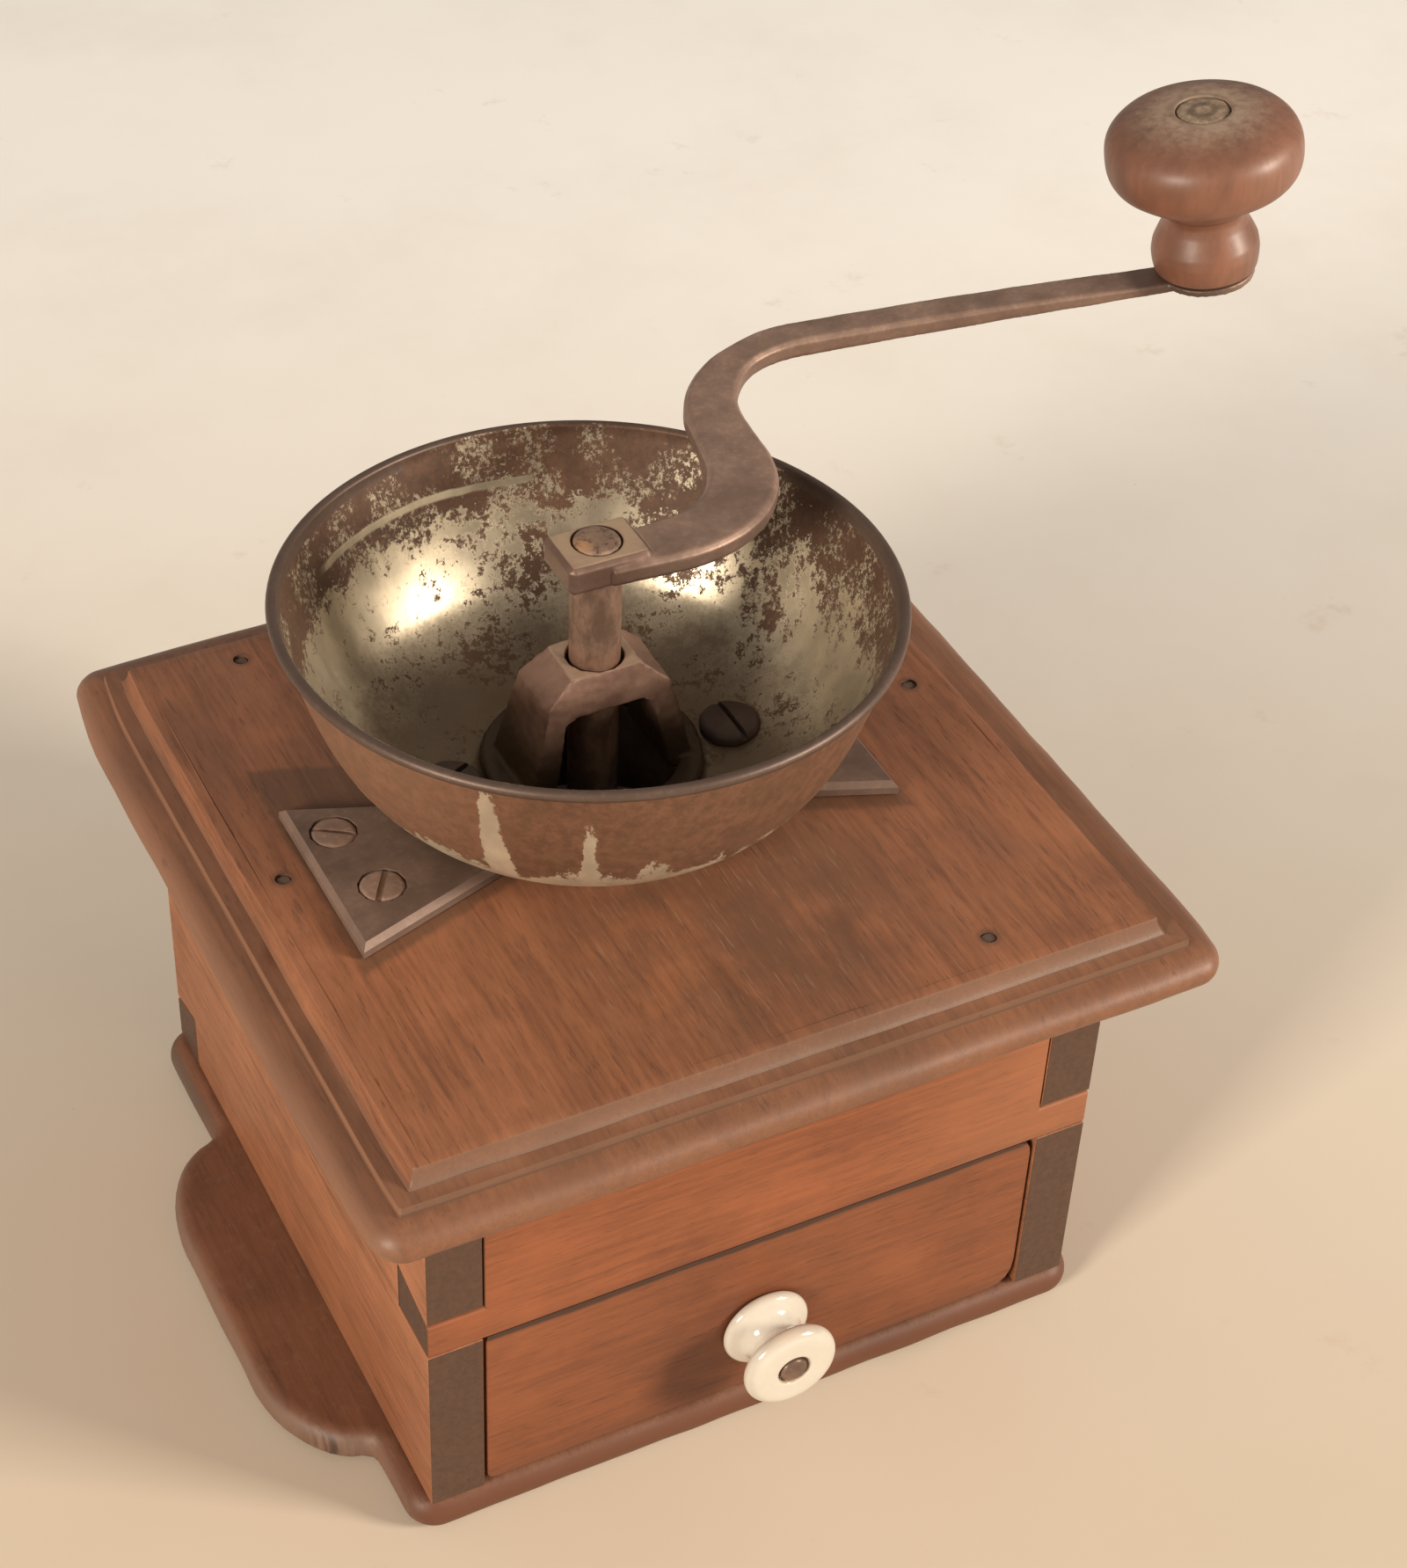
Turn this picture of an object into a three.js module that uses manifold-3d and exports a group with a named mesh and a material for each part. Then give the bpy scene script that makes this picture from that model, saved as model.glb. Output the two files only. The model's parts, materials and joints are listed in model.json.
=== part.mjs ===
// Box coffee grinder with a drawer: dovetailed walnut case, iron burr mill, sheet-iron hopper and crank.
// Millimetres, +Z up, +X along the front to the right, +Y to the back.
// The origin is the middle of the case on the face that the base board rests on.
import * as THREE from "three";
import { mergeVertices } from "three/addons/utils/BufferGeometryUtils.js";
import Module from "manifold-3d";

const wasm = await Module();
wasm.setup();

// Clearances
const seat = 0.3;              // gap between pieces that lie on each other
const journalGap = 0.35;       // round a turning shaft
const slideGap = 0.5;          // round the drawer
const overrun = 2;             // how far a cutter passes a face
const mergeReach = 1e-4;       // points nearer than this are one

// Case
const caseWidth = 130;
const caseDepth = 129.5;
const boardThick = 10.2;
const railThick = 12.4;
const baseThick = 7.4;
const boardHeight = 79.7;
const lidWidth = 160.2;
const lidDepth = 158.8;
const lidThick = 13;
const lidShiftX = 1.8;         // the lid sits a little off the case
const lidShiftY = 0.9;
const fieldShiftX = 0.7;       // and its flat field a little off its edge
const fieldShiftY = -1;

// Base board
const baseSideOverhang = 3.6;
const baseFrontOverhang = 1;
const baseBackOverhang = 2.2;
const baseCorner = 6;
const wingReach = 18.3;        // from the case's side to the wing's edge
const wingLength = 81.5;
const wingShiftY = -5.2;
const wingCornerWidth = 14.5;  // the wings' corners are quarters of an ellipse
const wingCornerLength = 24;
const baseRound = 3.3;

// Dovetails
const pinHeight = 7.5;
const pinFlare = 3.2;
const backPinHeight = 9.5;
const upperPinShare = 0.753;   // of the board's height
const dovetailGap = 0.3;

// Drawer
const railDrop = 39.6;         // height of the rail
const drawerFrontThick = 9.5;
const drawerInset = 0.3;
const drawerSideThick = 5.5;
const drawerSideHeight = 30;
const drawerDepth = 112;
const drawerBottomThick = 3.5;
const rabbetDepth = 6;
const drawerCornerWear = 3.5;
const frontBevel = 0.6;

// Porcelain knob and its bolt
const knobDrop = 3.8;          // below the middle of the drawer front
const roseRadius = 8.4;
const roseThick = 2.4;
const waistRadius = 4.7;
const discRadius = 9.1;
const discThick = 3.8;
const porcelainLength = 12;
const boltRadius = 1.6;
const boltHeadRadius = 2.6;
const boltHeadThick = 1.4;
const boltHeadDome = 0.5;
const boltTail = 1.5;
const squareNut = 7;
const squareNutThick = 2.8;
const washerRadius = 5;
const washerThick = 0.9;

// Mill axis, over the mounting plate
const millX = -3.6;
const millY = 2.4;
const plateCentreX = -6.3;
const plateCentreY = -3.2;
const plateHalfLength = 51.2;
const plateEndHalf = 19.6;
const plateNeckHalf = 9.5;
const plateThick = 2.5;
const plateBevel = 1.1;
const bossRadius = 27;
const bossRise = 2;
const throatRadius = 17.5;     // outside of the grinding shell's neck
const plateScrewInset = 7.5;
const plateScrewStagger = 1.2;

// Hopper bowl
const sheet = 0.9;
const bowlShiftX = -0.9;       // the bowl sits a little off the mill's axis
const bowlShiftY = 0.3;
const bowlFloorRadius = 32.6;
const bowlRimRadius = 51.9;
const bowlHeight = 37.6;
const wireRadius = 1.35;
const bowlStraightShare = 0.53;
const bowlFlare = 4.5;         // exponent of the curve at the wall's foot
const bowlOvalShare = 0.018;   // the old sheet is out of round by this much
const bowlOvalTurn = -0.469;   // radians from +X to the oval's long axis

// Grinding shell and burr
const neckWall = 2;
const shellFootWall = 2.2;
const shellRim = 3;
const shellDrop = 19;          // how far the shell hangs below the lid
const shellFlareDrop = 9;
const shellFlare = 2.4;
const boreBlend = 6;           // height over which the bore's teeth run out
const boreTwist = 0.15;        // radians
const earReach = 31;
const earHalf = 8;
const earThick = 9;
const burrTopRadius = 9;
const burrTopRise = 27;
const burrGap = 0.8;
const coarseFlutes = 7;
const fineTeeth = 28;
const fluteTwist = 1.1;        // radians from the burr's top to its foot
const fluteDepthShare = 0.3;
const toothDepthShare = 0.045;
const burrPinRadius = 1.3;
const burrPinReach = 2.2;      // how far the pin stands out of the spindle
const burrPinDrop = 4.5;       // below the burr's top

// Bridge over the throat
const ringRadius = 19.8;
const ringThick = 2;
const ringChamfer = 0.8;
const bridgeTopHalf = 6.6;
const bridgeShoulderHalf = 11.6;
const bridgeFootHalf = 16;
const bridgeHeight = 23.6;     // from the bowl's floor to the bearing's top
const shoulderDrop = 4.6;
const archThick = 7.4;
const archChamfer = 1.2;
const archInnerHalf = 8.4;
const archInnerTopHalf = 6.4;
const archFootInnerHalf = 11;
const bridgeTopWidth = 13;
const bridgeFootWidth = 17;
const hopperScrewReach = 26;
const hopperScrewLag = 2.6;    // the screws' line is turned a little

// Spindle
const spindleRadius = 4.5;
const hubClear = 18.4;         // shaft that shows between bridge and hub
const tenonRadius = 4;
const tenonProud = 0.5;
const toeLength = 4;
const toeTipRadius = 0.6;
const toeShoulder = 1;
const toeSink = 2.2;

// Toe bar, studs and wing nut
const barDrop = 28;            // from the lid's underside to the bar's top
const barThick = 4;
const barHalfWidth = 5;
const barOverStud = 6;
const studReach = 25.5;
const studRadius = 2.5;
const studTail = 12.5;
const studHeadRadius = 5;
const studHeadThick = 3;
const studCollarRadius = 4.1;
const studCollarThick = 1.6;
const liftTravel = 0.5;
const nutRadius = 5;
const nutThick = 4.5;
const wingSpan = 11;
const wingThick = 2.4;
const wingRise = 7.5;

// Crank
const hubLength = 15.4;
const hubWidth = 11.8;
const hubThick = 5.6;
const hubShiftY = -0.6;
const hubChamfer = 1;
const armShiftY = -1.8;        // the arm's middle, off the hub's middle
const armStep = 1.2;           // the arm's top lies below the hub's top
const armThick = 4;
const armEndThick = 1.5;
const armTaper = 4;            // exponent: the bar keeps its thickness and thins near the eye
const armWidthHub = 10.8;
const armWidthBend = 12.6;
const armWidthLink = 10.4;
const armWidthSweep = 7;
const armWidthEnd = 7.1;
const armChamfer = 0.9;
const armStraight = 14;
const firstBendRadius = 20.4;
const firstBend = 82.5 * Math.PI / 180;
const armLink = 9.4;
const secondBendRadius = 21.2;
const secondBend = 95 * Math.PI / 180;
const sweepRadius = 311;
const sweepLength = 75.75;
const armRise = 12;
const riseExponent = 1.9;
const eyeRadius = 9;
const eyeThick = 1.5;
const eyeShift = 1.74;         // from the bar's middle line to the eye's middle, to the left

// Crank knob
const knobLean = 9 * Math.PI / 180;
const knobBaseRadius = 8.8;
const knobBulgeRadius = 10;
const knobBulgeRise = 4.3;
const knobNeckRadius = 8.2;
const knobNeckRise = 11.2;
const knobHeadRadius = 17.8;
const knobHeadRise = 23.9;     // from the knob's foot to its widest place
const knobHeadHalf = 8.3;      // half the head's height
const knobRound = 0.72;        // under 1, the head's section is squarer than an ellipse
const knobPinRadius = 2.4;
const knobPinHead = 4.6;
const knobPinSink = 0.8;
const rivetHeadThick = 1.4;

// Nails and screws
const nailRadius = 0.9;
const nailHeadRadius = 1.8;
const nailHeadThick = 0.8;
const nailLength = 26;
const plateScrewHead = 4;
const plateScrewHeadThick = 1;
const plateScrewCore = 1.6;
const plateScrewLength = 11;
const hopperScrewHead = 5.6;
const hopperScrewHeadThick = 2.6;
const hopperScrewCore = 2.6;
const slotWidth = 1.1;
const slotDepthShare = 0.45;

// How finely round forms are cut
const fineSides = 36;
const roundSides = 24;
const boltSides = 12;
const pinSides = 10;
const nailSides = 8;
const knobSides = 30;

// Heights that follow
const lidUnder = baseThick + seat + boardHeight + seat;
const lidTop = lidUnder + lidThick;
const caseFoot = baseThick + seat;
const caseTop = caseFoot + boardHeight;
const railFoot = caseTop - railDrop;
const sideX = caseWidth / 2 - boardThick / 2;
const innerHalf = caseWidth / 2 - boardThick;
const frontY = -caseDepth / 2;
const backY = caseDepth / 2;
const plateFoot = lidTop + seat;
const plateTop = plateFoot + plateThick;
const bowlFoot = plateTop + bossRise + seat;
const bowlFloor = bowlFoot + sheet;
const ringFoot = bowlFloor + seat;
const bridgeTop = bowlFloor + bridgeHeight;
const hubFoot = bridgeTop + hubClear;
const hubTop = hubFoot + hubThick;
const armTop = hubTop - armStep;
const shellFoot = lidUnder - shellDrop;
const barTop = lidUnder - barDrop;
const barFoot = barTop - barThick;
const toeTip = barTop - toeSink + seat;
const burrFoot = shellFoot - 1.5 * seat;
const earTop = lidUnder - seat;
const earFoot = earTop - earThick;
const bowlX = millX + bowlShiftX;
const bowlY = millY + bowlShiftY;
const hopperScrewPlaces = [-1, 1].map((side) =>
  [millX + side * hopperScrewReach, millY - side * hopperScrewLag]);

// Materials
const material = (color, roughness, metalness) =>
  new THREE.MeshStandardMaterial({ color, roughness, metalness });
const walnut = material(0x7a4326, 0.5, 0);
const paleWalnut = material(0x9c5a30, 0.5, 0);
const poplar = material(0xb08a5c, 0.7, 0);
const castIron = material(0x4a3630, 0.6, 0.6);
const forgedIron = material(0x5b4238, 0.55, 0.7);
const tinned = material(0x9c8f76, 0.4, 0.8);
const porcelain = material(0xefe6d4, 0.15, 0);
const turnedWood = material(0x6e3a22, 0.35, 0);
const steel = material(0x6b5d50, 0.5, 0.8);

const group = new THREE.Group();

// Solids

function toSolid(geometry) {
  const bare = geometry.clone();
  bare.deleteAttribute("normal");
  bare.deleteAttribute("uv");
  const merged = mergeVertices(bare, mergeReach);
  return new wasm.Manifold(new wasm.Mesh({
    numProp: 3,
    vertProperties: new Float32Array(merged.attributes.position.array),
    triVerts: new Uint32Array(merged.index.array),
  }));
}

function toGeometry(solid) {
  const mesh = solid.getMesh();
  const geometry = new THREE.BufferGeometry();
  geometry.setAttribute("position", new THREE.BufferAttribute(mesh.vertProperties, 3));
  geometry.setIndex(new THREE.BufferAttribute(mesh.triVerts, 1));
  geometry.computeVertexNormals();
  return geometry;
}

// A closed solid through rings of points, each ring convex as seen from its own middle.
function loft(rings) {
  const count = rings[0].length;
  const points = rings.flat();
  const middle = (ring) => ring.reduce((sum, p) => sum.add(p), new THREE.Vector3())
    .divideScalar(count);
  points.push(middle(rings[0]), middle(rings[rings.length - 1]));
  const foot = points.length - 2;
  const index = [];
  for (let k = 0; k < rings.length - 1; k++) {
    for (let i = 0; i < count; i++) {
      const j = (i + 1) % count;
      const a = k * count + i;
      const b = k * count + j;
      index.push(a, b, b + count, a, b + count, a + count);
    }
  }
  const top = (rings.length - 1) * count;
  for (let i = 0; i < count; i++) {
    const j = (i + 1) % count;
    index.push(foot, j, i, foot + 1, top + i, top + j);
  }
  const geometry = new THREE.BufferGeometry();
  const flat = new Float32Array(points.flatMap((p) => [p.x, p.y, p.z]));
  geometry.setAttribute("position", new THREE.BufferAttribute(flat, 3));
  geometry.setIndex(index);
  return geometry;
}

// A box between two corners.
function block(low, high) {
  const size = high.map((value, i) => value - low[i]);
  const geometry = new THREE.BoxGeometry(...size);
  return geometry.translate(...low.map((value, i) => value + size[i] / 2));
}

// An upright cylinder from a height to another.
function rod(x, y, z0, z1, radius, segments = roundSides, topRadius = radius) {
  const geometry = new THREE.CylinderGeometry(topRadius, radius, z1 - z0, segments);
  return geometry.rotateX(Math.PI / 2).translate(x, y, (z0 + z1) / 2);
}

// A revolved profile of [radius, height] pairs, stood up along Z.
function revolve(profile, segments = roundSides) {
  const points = profile.map(([r, z]) => new THREE.Vector2(r, z));
  return new THREE.LatheGeometry(points, segments).rotateX(Math.PI / 2);
}

// A flat outline in X and Y pushed up from a height, its edges rounded or bevelled.
function slab(shape, z0, z1, bevel = 0, steps = 1, curveSegments = 4) {
  const depth = z1 - z0 - 2 * bevel;
  const geometry = new THREE.ExtrudeGeometry(shape, {
    depth,
    curveSegments,
    bevelEnabled: bevel > 0,
    bevelThickness: bevel,
    bevelSize: bevel,
    bevelOffset: -bevel,
    bevelSegments: steps,
  });
  return geometry.translate(0, 0, z0 + bevel);
}

// An outline in X and Z pushed from one Y to another.
function slabAlongY(points, y0, y1) {
  const shape = new THREE.Shape(points.map(([x, z]) => new THREE.Vector2(x, z)));
  const geometry = new THREE.ExtrudeGeometry(shape, { depth: y1 - y0, bevelEnabled: false });
  return geometry.rotateX(Math.PI / 2).translate(0, y1, 0);
}

// An outline in Y and Z pushed from one X to another.
function slabAlongX(points, x0, x1) {
  const shape = new THREE.Shape(points.map(([y, z]) => new THREE.Vector2(y, z)));
  const geometry = new THREE.ExtrudeGeometry(shape, { depth: x1 - x0, bevelEnabled: false });
  return geometry.rotateX(Math.PI / 2).rotateZ(Math.PI / 2).translate(x0, 0, 0);
}

function cut(geometry, ...cutters) {
  let solid = toSolid(geometry);
  for (const cutter of cutters) solid = solid.subtract(toSolid(cutter));
  return toGeometry(solid);
}

function join(...geometries) {
  let solid = toSolid(geometries[0]);
  for (const geometry of geometries.slice(1)) solid = solid.add(toSolid(geometry));
  return toGeometry(solid);
}

function keep(geometry, other) {
  return toGeometry(toSolid(geometry).intersect(toSolid(other)));
}

function add(name, geometry, look, parent = group) {
  const mesh = new THREE.Mesh(geometry, look);
  mesh.name = name;
  parent.add(mesh);
  return mesh;
}

// Fasteners

const slotCutter = (radius, top, depth, turn) => {
  const reach = radius + overrun;
  const cutter = block([-reach, -slotWidth / 2, top - depth], [reach, slotWidth / 2, top + overrun]);
  return cutter.rotateZ(turn);
};

// A round-headed slotted screw whose head's underside is at z = 0.
function screw(headRadius, headThick, coreRadius, length, turn) {
  const domeShares = [[1, 0.45], [0.9, 0.82], [0.55, 1]];
  const profile = [[0, -length], [coreRadius, -length + coreRadius * 2],
    [coreRadius, 0], [headRadius, 0],
    ...domeShares.map(([r, z]) => [headRadius * r, headThick * z]), [0, headThick]];
  const depth = headThick * (1 - slotDepthShare);
  return cut(revolve(profile, boltSides), slotCutter(headRadius, headThick, depth, turn));
}

// A cut nail, head up, its head's top at z = 0.
function nail(length) {
  return join(
    rod(0, 0, -length, -nailHeadThick / 2, nailRadius * 0.5, nailSides, nailRadius),
    rod(0, 0, -nailHeadThick, 0, nailHeadRadius, nailSides),
  );
}

function nailHole(length) {
  return join(
    rod(0, 0, -length - seat, 0, nailRadius + seat, nailSides),
    rod(0, 0, -nailHeadThick - seat, overrun, nailHeadRadius + seat, nailSides),
  );
}

// Copies of one fastener, each its own numbered mesh.
function addEach(name, geometries, look, parent = group) {
  geometries.forEach((geometry, i) => add(`${name}_${i + 1}`, geometry, look, parent));
}

// Nails through the lid: places over the boards they hold.
const lidNailShares = [
  [-0.735, 1, "end"],
  [-1, 0.025, "side"],
  [1, 0.062, "side"],
  [0.626, -1, "end"],
];
const nailSideLine = sideX + boardThick / 4;
const nailEndLine = backY - boardThick / 3;
const lidNailPlaces = lidNailShares.map(([x, y, board]) => (board === "side"
  ? [x * nailSideLine, y * backY]
  : [x * caseWidth / 2, y * nailEndLine]));
const nailTop = lidTop - seat;

// Nails from the base up into the sides and the back board.
const baseNailShares = [-0.7, 0.6];
const baseNailPlaces = [
  ...baseNailShares.flatMap((share) => [[-sideX, share * backY], [sideX, share * backY]]),
  [-innerHalf / 2, backY - boardThick / 2],
  [innerHalf / 2, backY - boardThick / 2],
];
const baseNailLengthShare = 0.75;
const baseNailLength = nailLength * baseNailLengthShare;

const lidNailHoles = () => lidNailPlaces.map(([x, y]) => nailHole(nailLength).translate(x, y, nailTop));
const baseNailHoles = () => baseNailPlaces.map(([x, y]) =>
  nailHole(baseNailLength).rotateX(Math.PI).translate(x, y, seat));

// Base board with its two wings
{
  const halfX = caseWidth / 2 + baseSideOverhang;
  const front = frontY - baseFrontOverhang;
  const back = backY + baseBackOverhang;
  const wingX = caseWidth / 2 + wingReach;
  const low = wingShiftY - wingLength / 2;
  const high = wingShiftY + wingLength / 2;
  const shape = new THREE.Shape();
  const corner = (x, y, start, half = baseCorner, long = baseCorner) =>
    shape.absellipse(x, y, half, long, start * Math.PI, (start + 0.5) * Math.PI, false, 0);
  shape.moveTo(-halfX + baseCorner, front);
  shape.lineTo(halfX - baseCorner, front);
  corner(halfX - baseCorner, front + baseCorner, -0.5);
  shape.lineTo(halfX, low);
  corner(wingX - wingCornerWidth, low + wingCornerLength, -0.5, wingCornerWidth, wingCornerLength);
  corner(wingX - wingCornerWidth, high - wingCornerLength, 0, wingCornerWidth, wingCornerLength);
  shape.lineTo(halfX, high);
  corner(halfX - baseCorner, back - baseCorner, 0);
  corner(-halfX + baseCorner, back - baseCorner, 0.5);
  shape.lineTo(-halfX, high);
  corner(-wingX + wingCornerWidth, high - wingCornerLength, 0.5, wingCornerWidth, wingCornerLength);
  corner(-wingX + wingCornerWidth, low + wingCornerLength, 1, wingCornerWidth, wingCornerLength);
  shape.lineTo(-halfX, low);
  corner(-halfX + baseCorner, front + baseCorner, 1);
  const board = slab(shape, 0, baseThick, baseRound, 2);
  add("base_board", cut(board, ...baseNailHoles()), walnut);
}

// Dovetail pins of the rail and the back board, drawn in the side's plane.
// The narrow end of a pin is at the outer face, and only its top flares.
function pinOutline(outerY, innerY, foot, height, flareDown, grow) {
  const inward = Math.sign(innerY - outerY);
  const outer = outerY - inward * (grow > 0 ? overrun : 0);
  const inner = innerY + inward * grow;
  const slope = pinFlare / railThick;
  const drop = flareDown ? slope * Math.abs(inner - outerY) : 0;
  return [
    [outer, foot - grow],
    [inner, foot - grow - drop],
    [inner, foot + height + grow + slope * Math.abs(inner - outerY)],
    [outer, foot + height + grow],
  ];
}
const railPin = (grow) => pinOutline(frontY, frontY + railThick, railFoot, pinHeight, false, grow);
const backPins = (grow) => [0, boardHeight * upperPinShare].map((rise) =>
  pinOutline(backY, backY - boardThick, caseFoot + rise, backPinHeight, rise > 0, grow));

// Side boards: tails at both ends round the pins' sockets
for (const side of [-1, 1]) {
  const outer = side * caseWidth / 2;
  const inner = side * innerHalf;
  const low = Math.min(outer, inner);
  const high = Math.max(outer, inner);
  const board = block([low, frontY, caseFoot], [high, backY, caseTop]);
  const sockets = [railPin(dovetailGap), ...backPins(dovetailGap)]
    .map((outline) => slabAlongX(outline, low - overrun, high + overrun));
  add(side < 0 ? "left_side" : "right_side",
    cut(board, ...sockets, ...lidNailHoles(), ...baseNailHoles()), walnut);
}

// Front rail and back board: pins run through to the outer faces
const boardEnd = innerHalf - seat;
{
  const rail = block([-boardEnd, frontY, railFoot], [boardEnd, frontY + railThick, caseTop]);
  const pins = slabAlongX(railPin(0), -caseWidth / 2, caseWidth / 2);
  add("front_rail", cut(join(rail, pins), ...lidNailHoles()), paleWalnut);
  const board = block([-boardEnd, backY - boardThick, caseFoot], [boardEnd, backY, caseTop]);
  const backPinSlabs = backPins(0).map((outline) => slabAlongX(outline, -caseWidth / 2, caseWidth / 2));
  add("back_board", cut(join(board, ...backPinSlabs), ...lidNailHoles(), ...baseNailHoles()), walnut);
}

// Lid: a square board whose edge runs ovolo, fillet, step and nosing
function lidRing(inset, drop) {
  const corner = Math.max(lidCorner - inset, fieldCorner);
  const halfX = lidWidth / 2 - inset;
  const halfY = lidDepth / 2 - inset;
  const share = inset / fieldInset;
  const middleX = lidShiftX + (fieldShiftX - lidShiftX) * share;
  const middleY = lidShiftY + (fieldShiftY - lidShiftY) * share;
  const ring = [];
  const steps = 4;
  for (let quarter = 0; quarter < 4; quarter++) {
    const sx = quarter === 0 || quarter === 3 ? 1 : -1;
    const sy = quarter < 2 ? 1 : -1;
    for (let k = 0; k <= steps; k++) {
      const angle = (quarter + k / steps) * Math.PI / 2;
      ring.push(new THREE.Vector3(
        middleX + sx * (halfX - corner) + corner * Math.cos(angle),
        middleY + sy * (halfY - corner) + corner * Math.sin(angle),
        lidTop - drop,
      ));
    }
  }
  return ring;
}
const ovoloOut = 1.5;
const ovoloDown = 3.6;
const filletOut = 3.1;
const stepDown = 2.1;
const stepOut = 0.4;
const nosingOut = 5.9;
const lidCorner = 8.5;
const fieldCorner = 0.4;
const fieldInset = nosingOut + stepOut + filletOut + ovoloOut;
const lidEdge = () => {
  const nosingTop = ovoloDown + stepDown;
  const nosingHeight = lidThick - nosingTop;
  const nosingDegrees = [90, 62, 36, 12, -12, -36, -62, -84];
  const nosing = nosingDegrees.map((degrees) => {
    const angle = degrees * Math.PI / 180;
    return [nosingOut * (1 - Math.cos(angle)), nosingTop + nosingHeight / 2 * (1 - Math.sin(angle))];
  });
  return [
    [fieldInset, 0],
    [fieldInset - ovoloOut * 0.35, ovoloDown * 0.3],
    [fieldInset - ovoloOut * 0.75, ovoloDown * 0.75],
    [fieldInset - ovoloOut, ovoloDown],
    [fieldInset - ovoloOut - filletOut, ovoloDown],
    ...nosing,
  ].reverse();
};
{
  const board = loft(lidEdge().map(([inset, drop]) => lidRing(inset, drop)));
  const throat = rod(millX, millY, lidUnder - overrun, lidTop + overrun, throatRadius + seat);
  const screwHoles = hopperScrewPlaces.map(([x, y]) =>
    rod(x, y, lidUnder - overrun, lidTop + overrun, hopperScrewCore + seat, pinSides));
  add("lid_board", cut(board, throat, ...screwHoles, ...lidNailHoles(), ...plateScrewHoles()), walnut);
}
addEach("lid_nail", lidNailPlaces.map(([x, y]) => nail(nailLength).translate(x, y, nailTop)), forgedIron);
addEach("base_nail", baseNailPlaces.map(([x, y]) =>
  nail(baseNailLength).rotateX(Math.PI).translate(x, y, seat)), forgedIron);

// Mounting plate: a disc with two fishtail ends, bevelled, and a raised seat for the bowl
function plateScrewPlaces() {
  const along = plateHalfLength - plateScrewInset;
  const places = [];
  for (const side of [-1, 1]) {
    places.push([plateCentreX + side * (along + plateScrewStagger), plateCentreY + plateEndHalf * 0.49]);
    places.push([plateCentreX + side * (along - plateScrewStagger), plateCentreY - plateEndHalf * 0.33]);
  }
  return places;
}
function plateScrewHoles() {
  const tip = plateTop - plateScrewHeadThick - plateScrewLength;
  return plateScrewPlaces().map(([x, y]) =>
    rod(x, y, tip - seat, lidTop + overrun, plateScrewCore + seat, pinSides));
}
{
  const shape = new THREE.Shape();
  const dx = millX - plateCentreX;
  const dy = millY - plateCentreY;
  const frontNeck = Math.asin((plateNeckHalf + dy) / bossRadius);
  const backNeck = Math.asin((plateNeckHalf - dy) / bossRadius);
  shape.moveTo(-plateHalfLength, plateEndHalf);
  shape.lineTo(-plateHalfLength, -plateEndHalf);
  shape.absarc(dx, dy, bossRadius, Math.PI + frontNeck, 2 * Math.PI - frontNeck, false);
  shape.lineTo(plateHalfLength, -plateEndHalf);
  shape.lineTo(plateHalfLength, plateEndHalf);
  shape.absarc(dx, dy, bossRadius, backNeck, Math.PI - backNeck, false);
  shape.closePath();
  const flat = slab(shape, plateFoot, plateTop, 0).translate(plateCentreX, plateCentreY, 0);
  const bevelled = slab(shape, plateFoot - plateBevel, plateTop, plateBevel)
    .translate(plateCentreX, plateCentreY, 0);
  const body = keep(flat, bevelled);
  const bossFoot = plateFoot + plateThick / 2;
  const boss = rod(millX, millY, bossFoot, plateTop + bossRise, bossRadius - seat, fineSides);
  const cutters = [
    rod(millX, millY, plateFoot - overrun, plateTop + bossRise + overrun, throatRadius + seat),
    ...hopperScrewPlaces.map(([x, y]) => rod(x, y,
      plateFoot - overrun, plateTop + bossRise + overrun, hopperScrewCore + seat, pinSides)),
    ...plateScrewPlaces().map(([x, y]) =>
      rod(x, y, plateFoot - overrun, plateTop + overrun, plateScrewCore + seat, pinSides)),
    ...plateScrewPlaces().map(([x, y]) => rod(x, y, plateTop - plateScrewHeadThick - seat / 2,
      plateTop + overrun, plateScrewHead + seat, boltSides)),
  ];
  add("mounting_plate", cut(join(body, boss), ...cutters), castIron);
  const turns = [0.25, 1.1, 0.7, 2.2];
  addEach("plate_screw", plateScrewPlaces().map(([x, y], i) =>
    screw(plateScrewHead, plateScrewHeadThick + seat, plateScrewCore, plateScrewLength, turns[i])
      .translate(x, y, plateTop - plateScrewHeadThick)), forgedIron);
}

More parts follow.
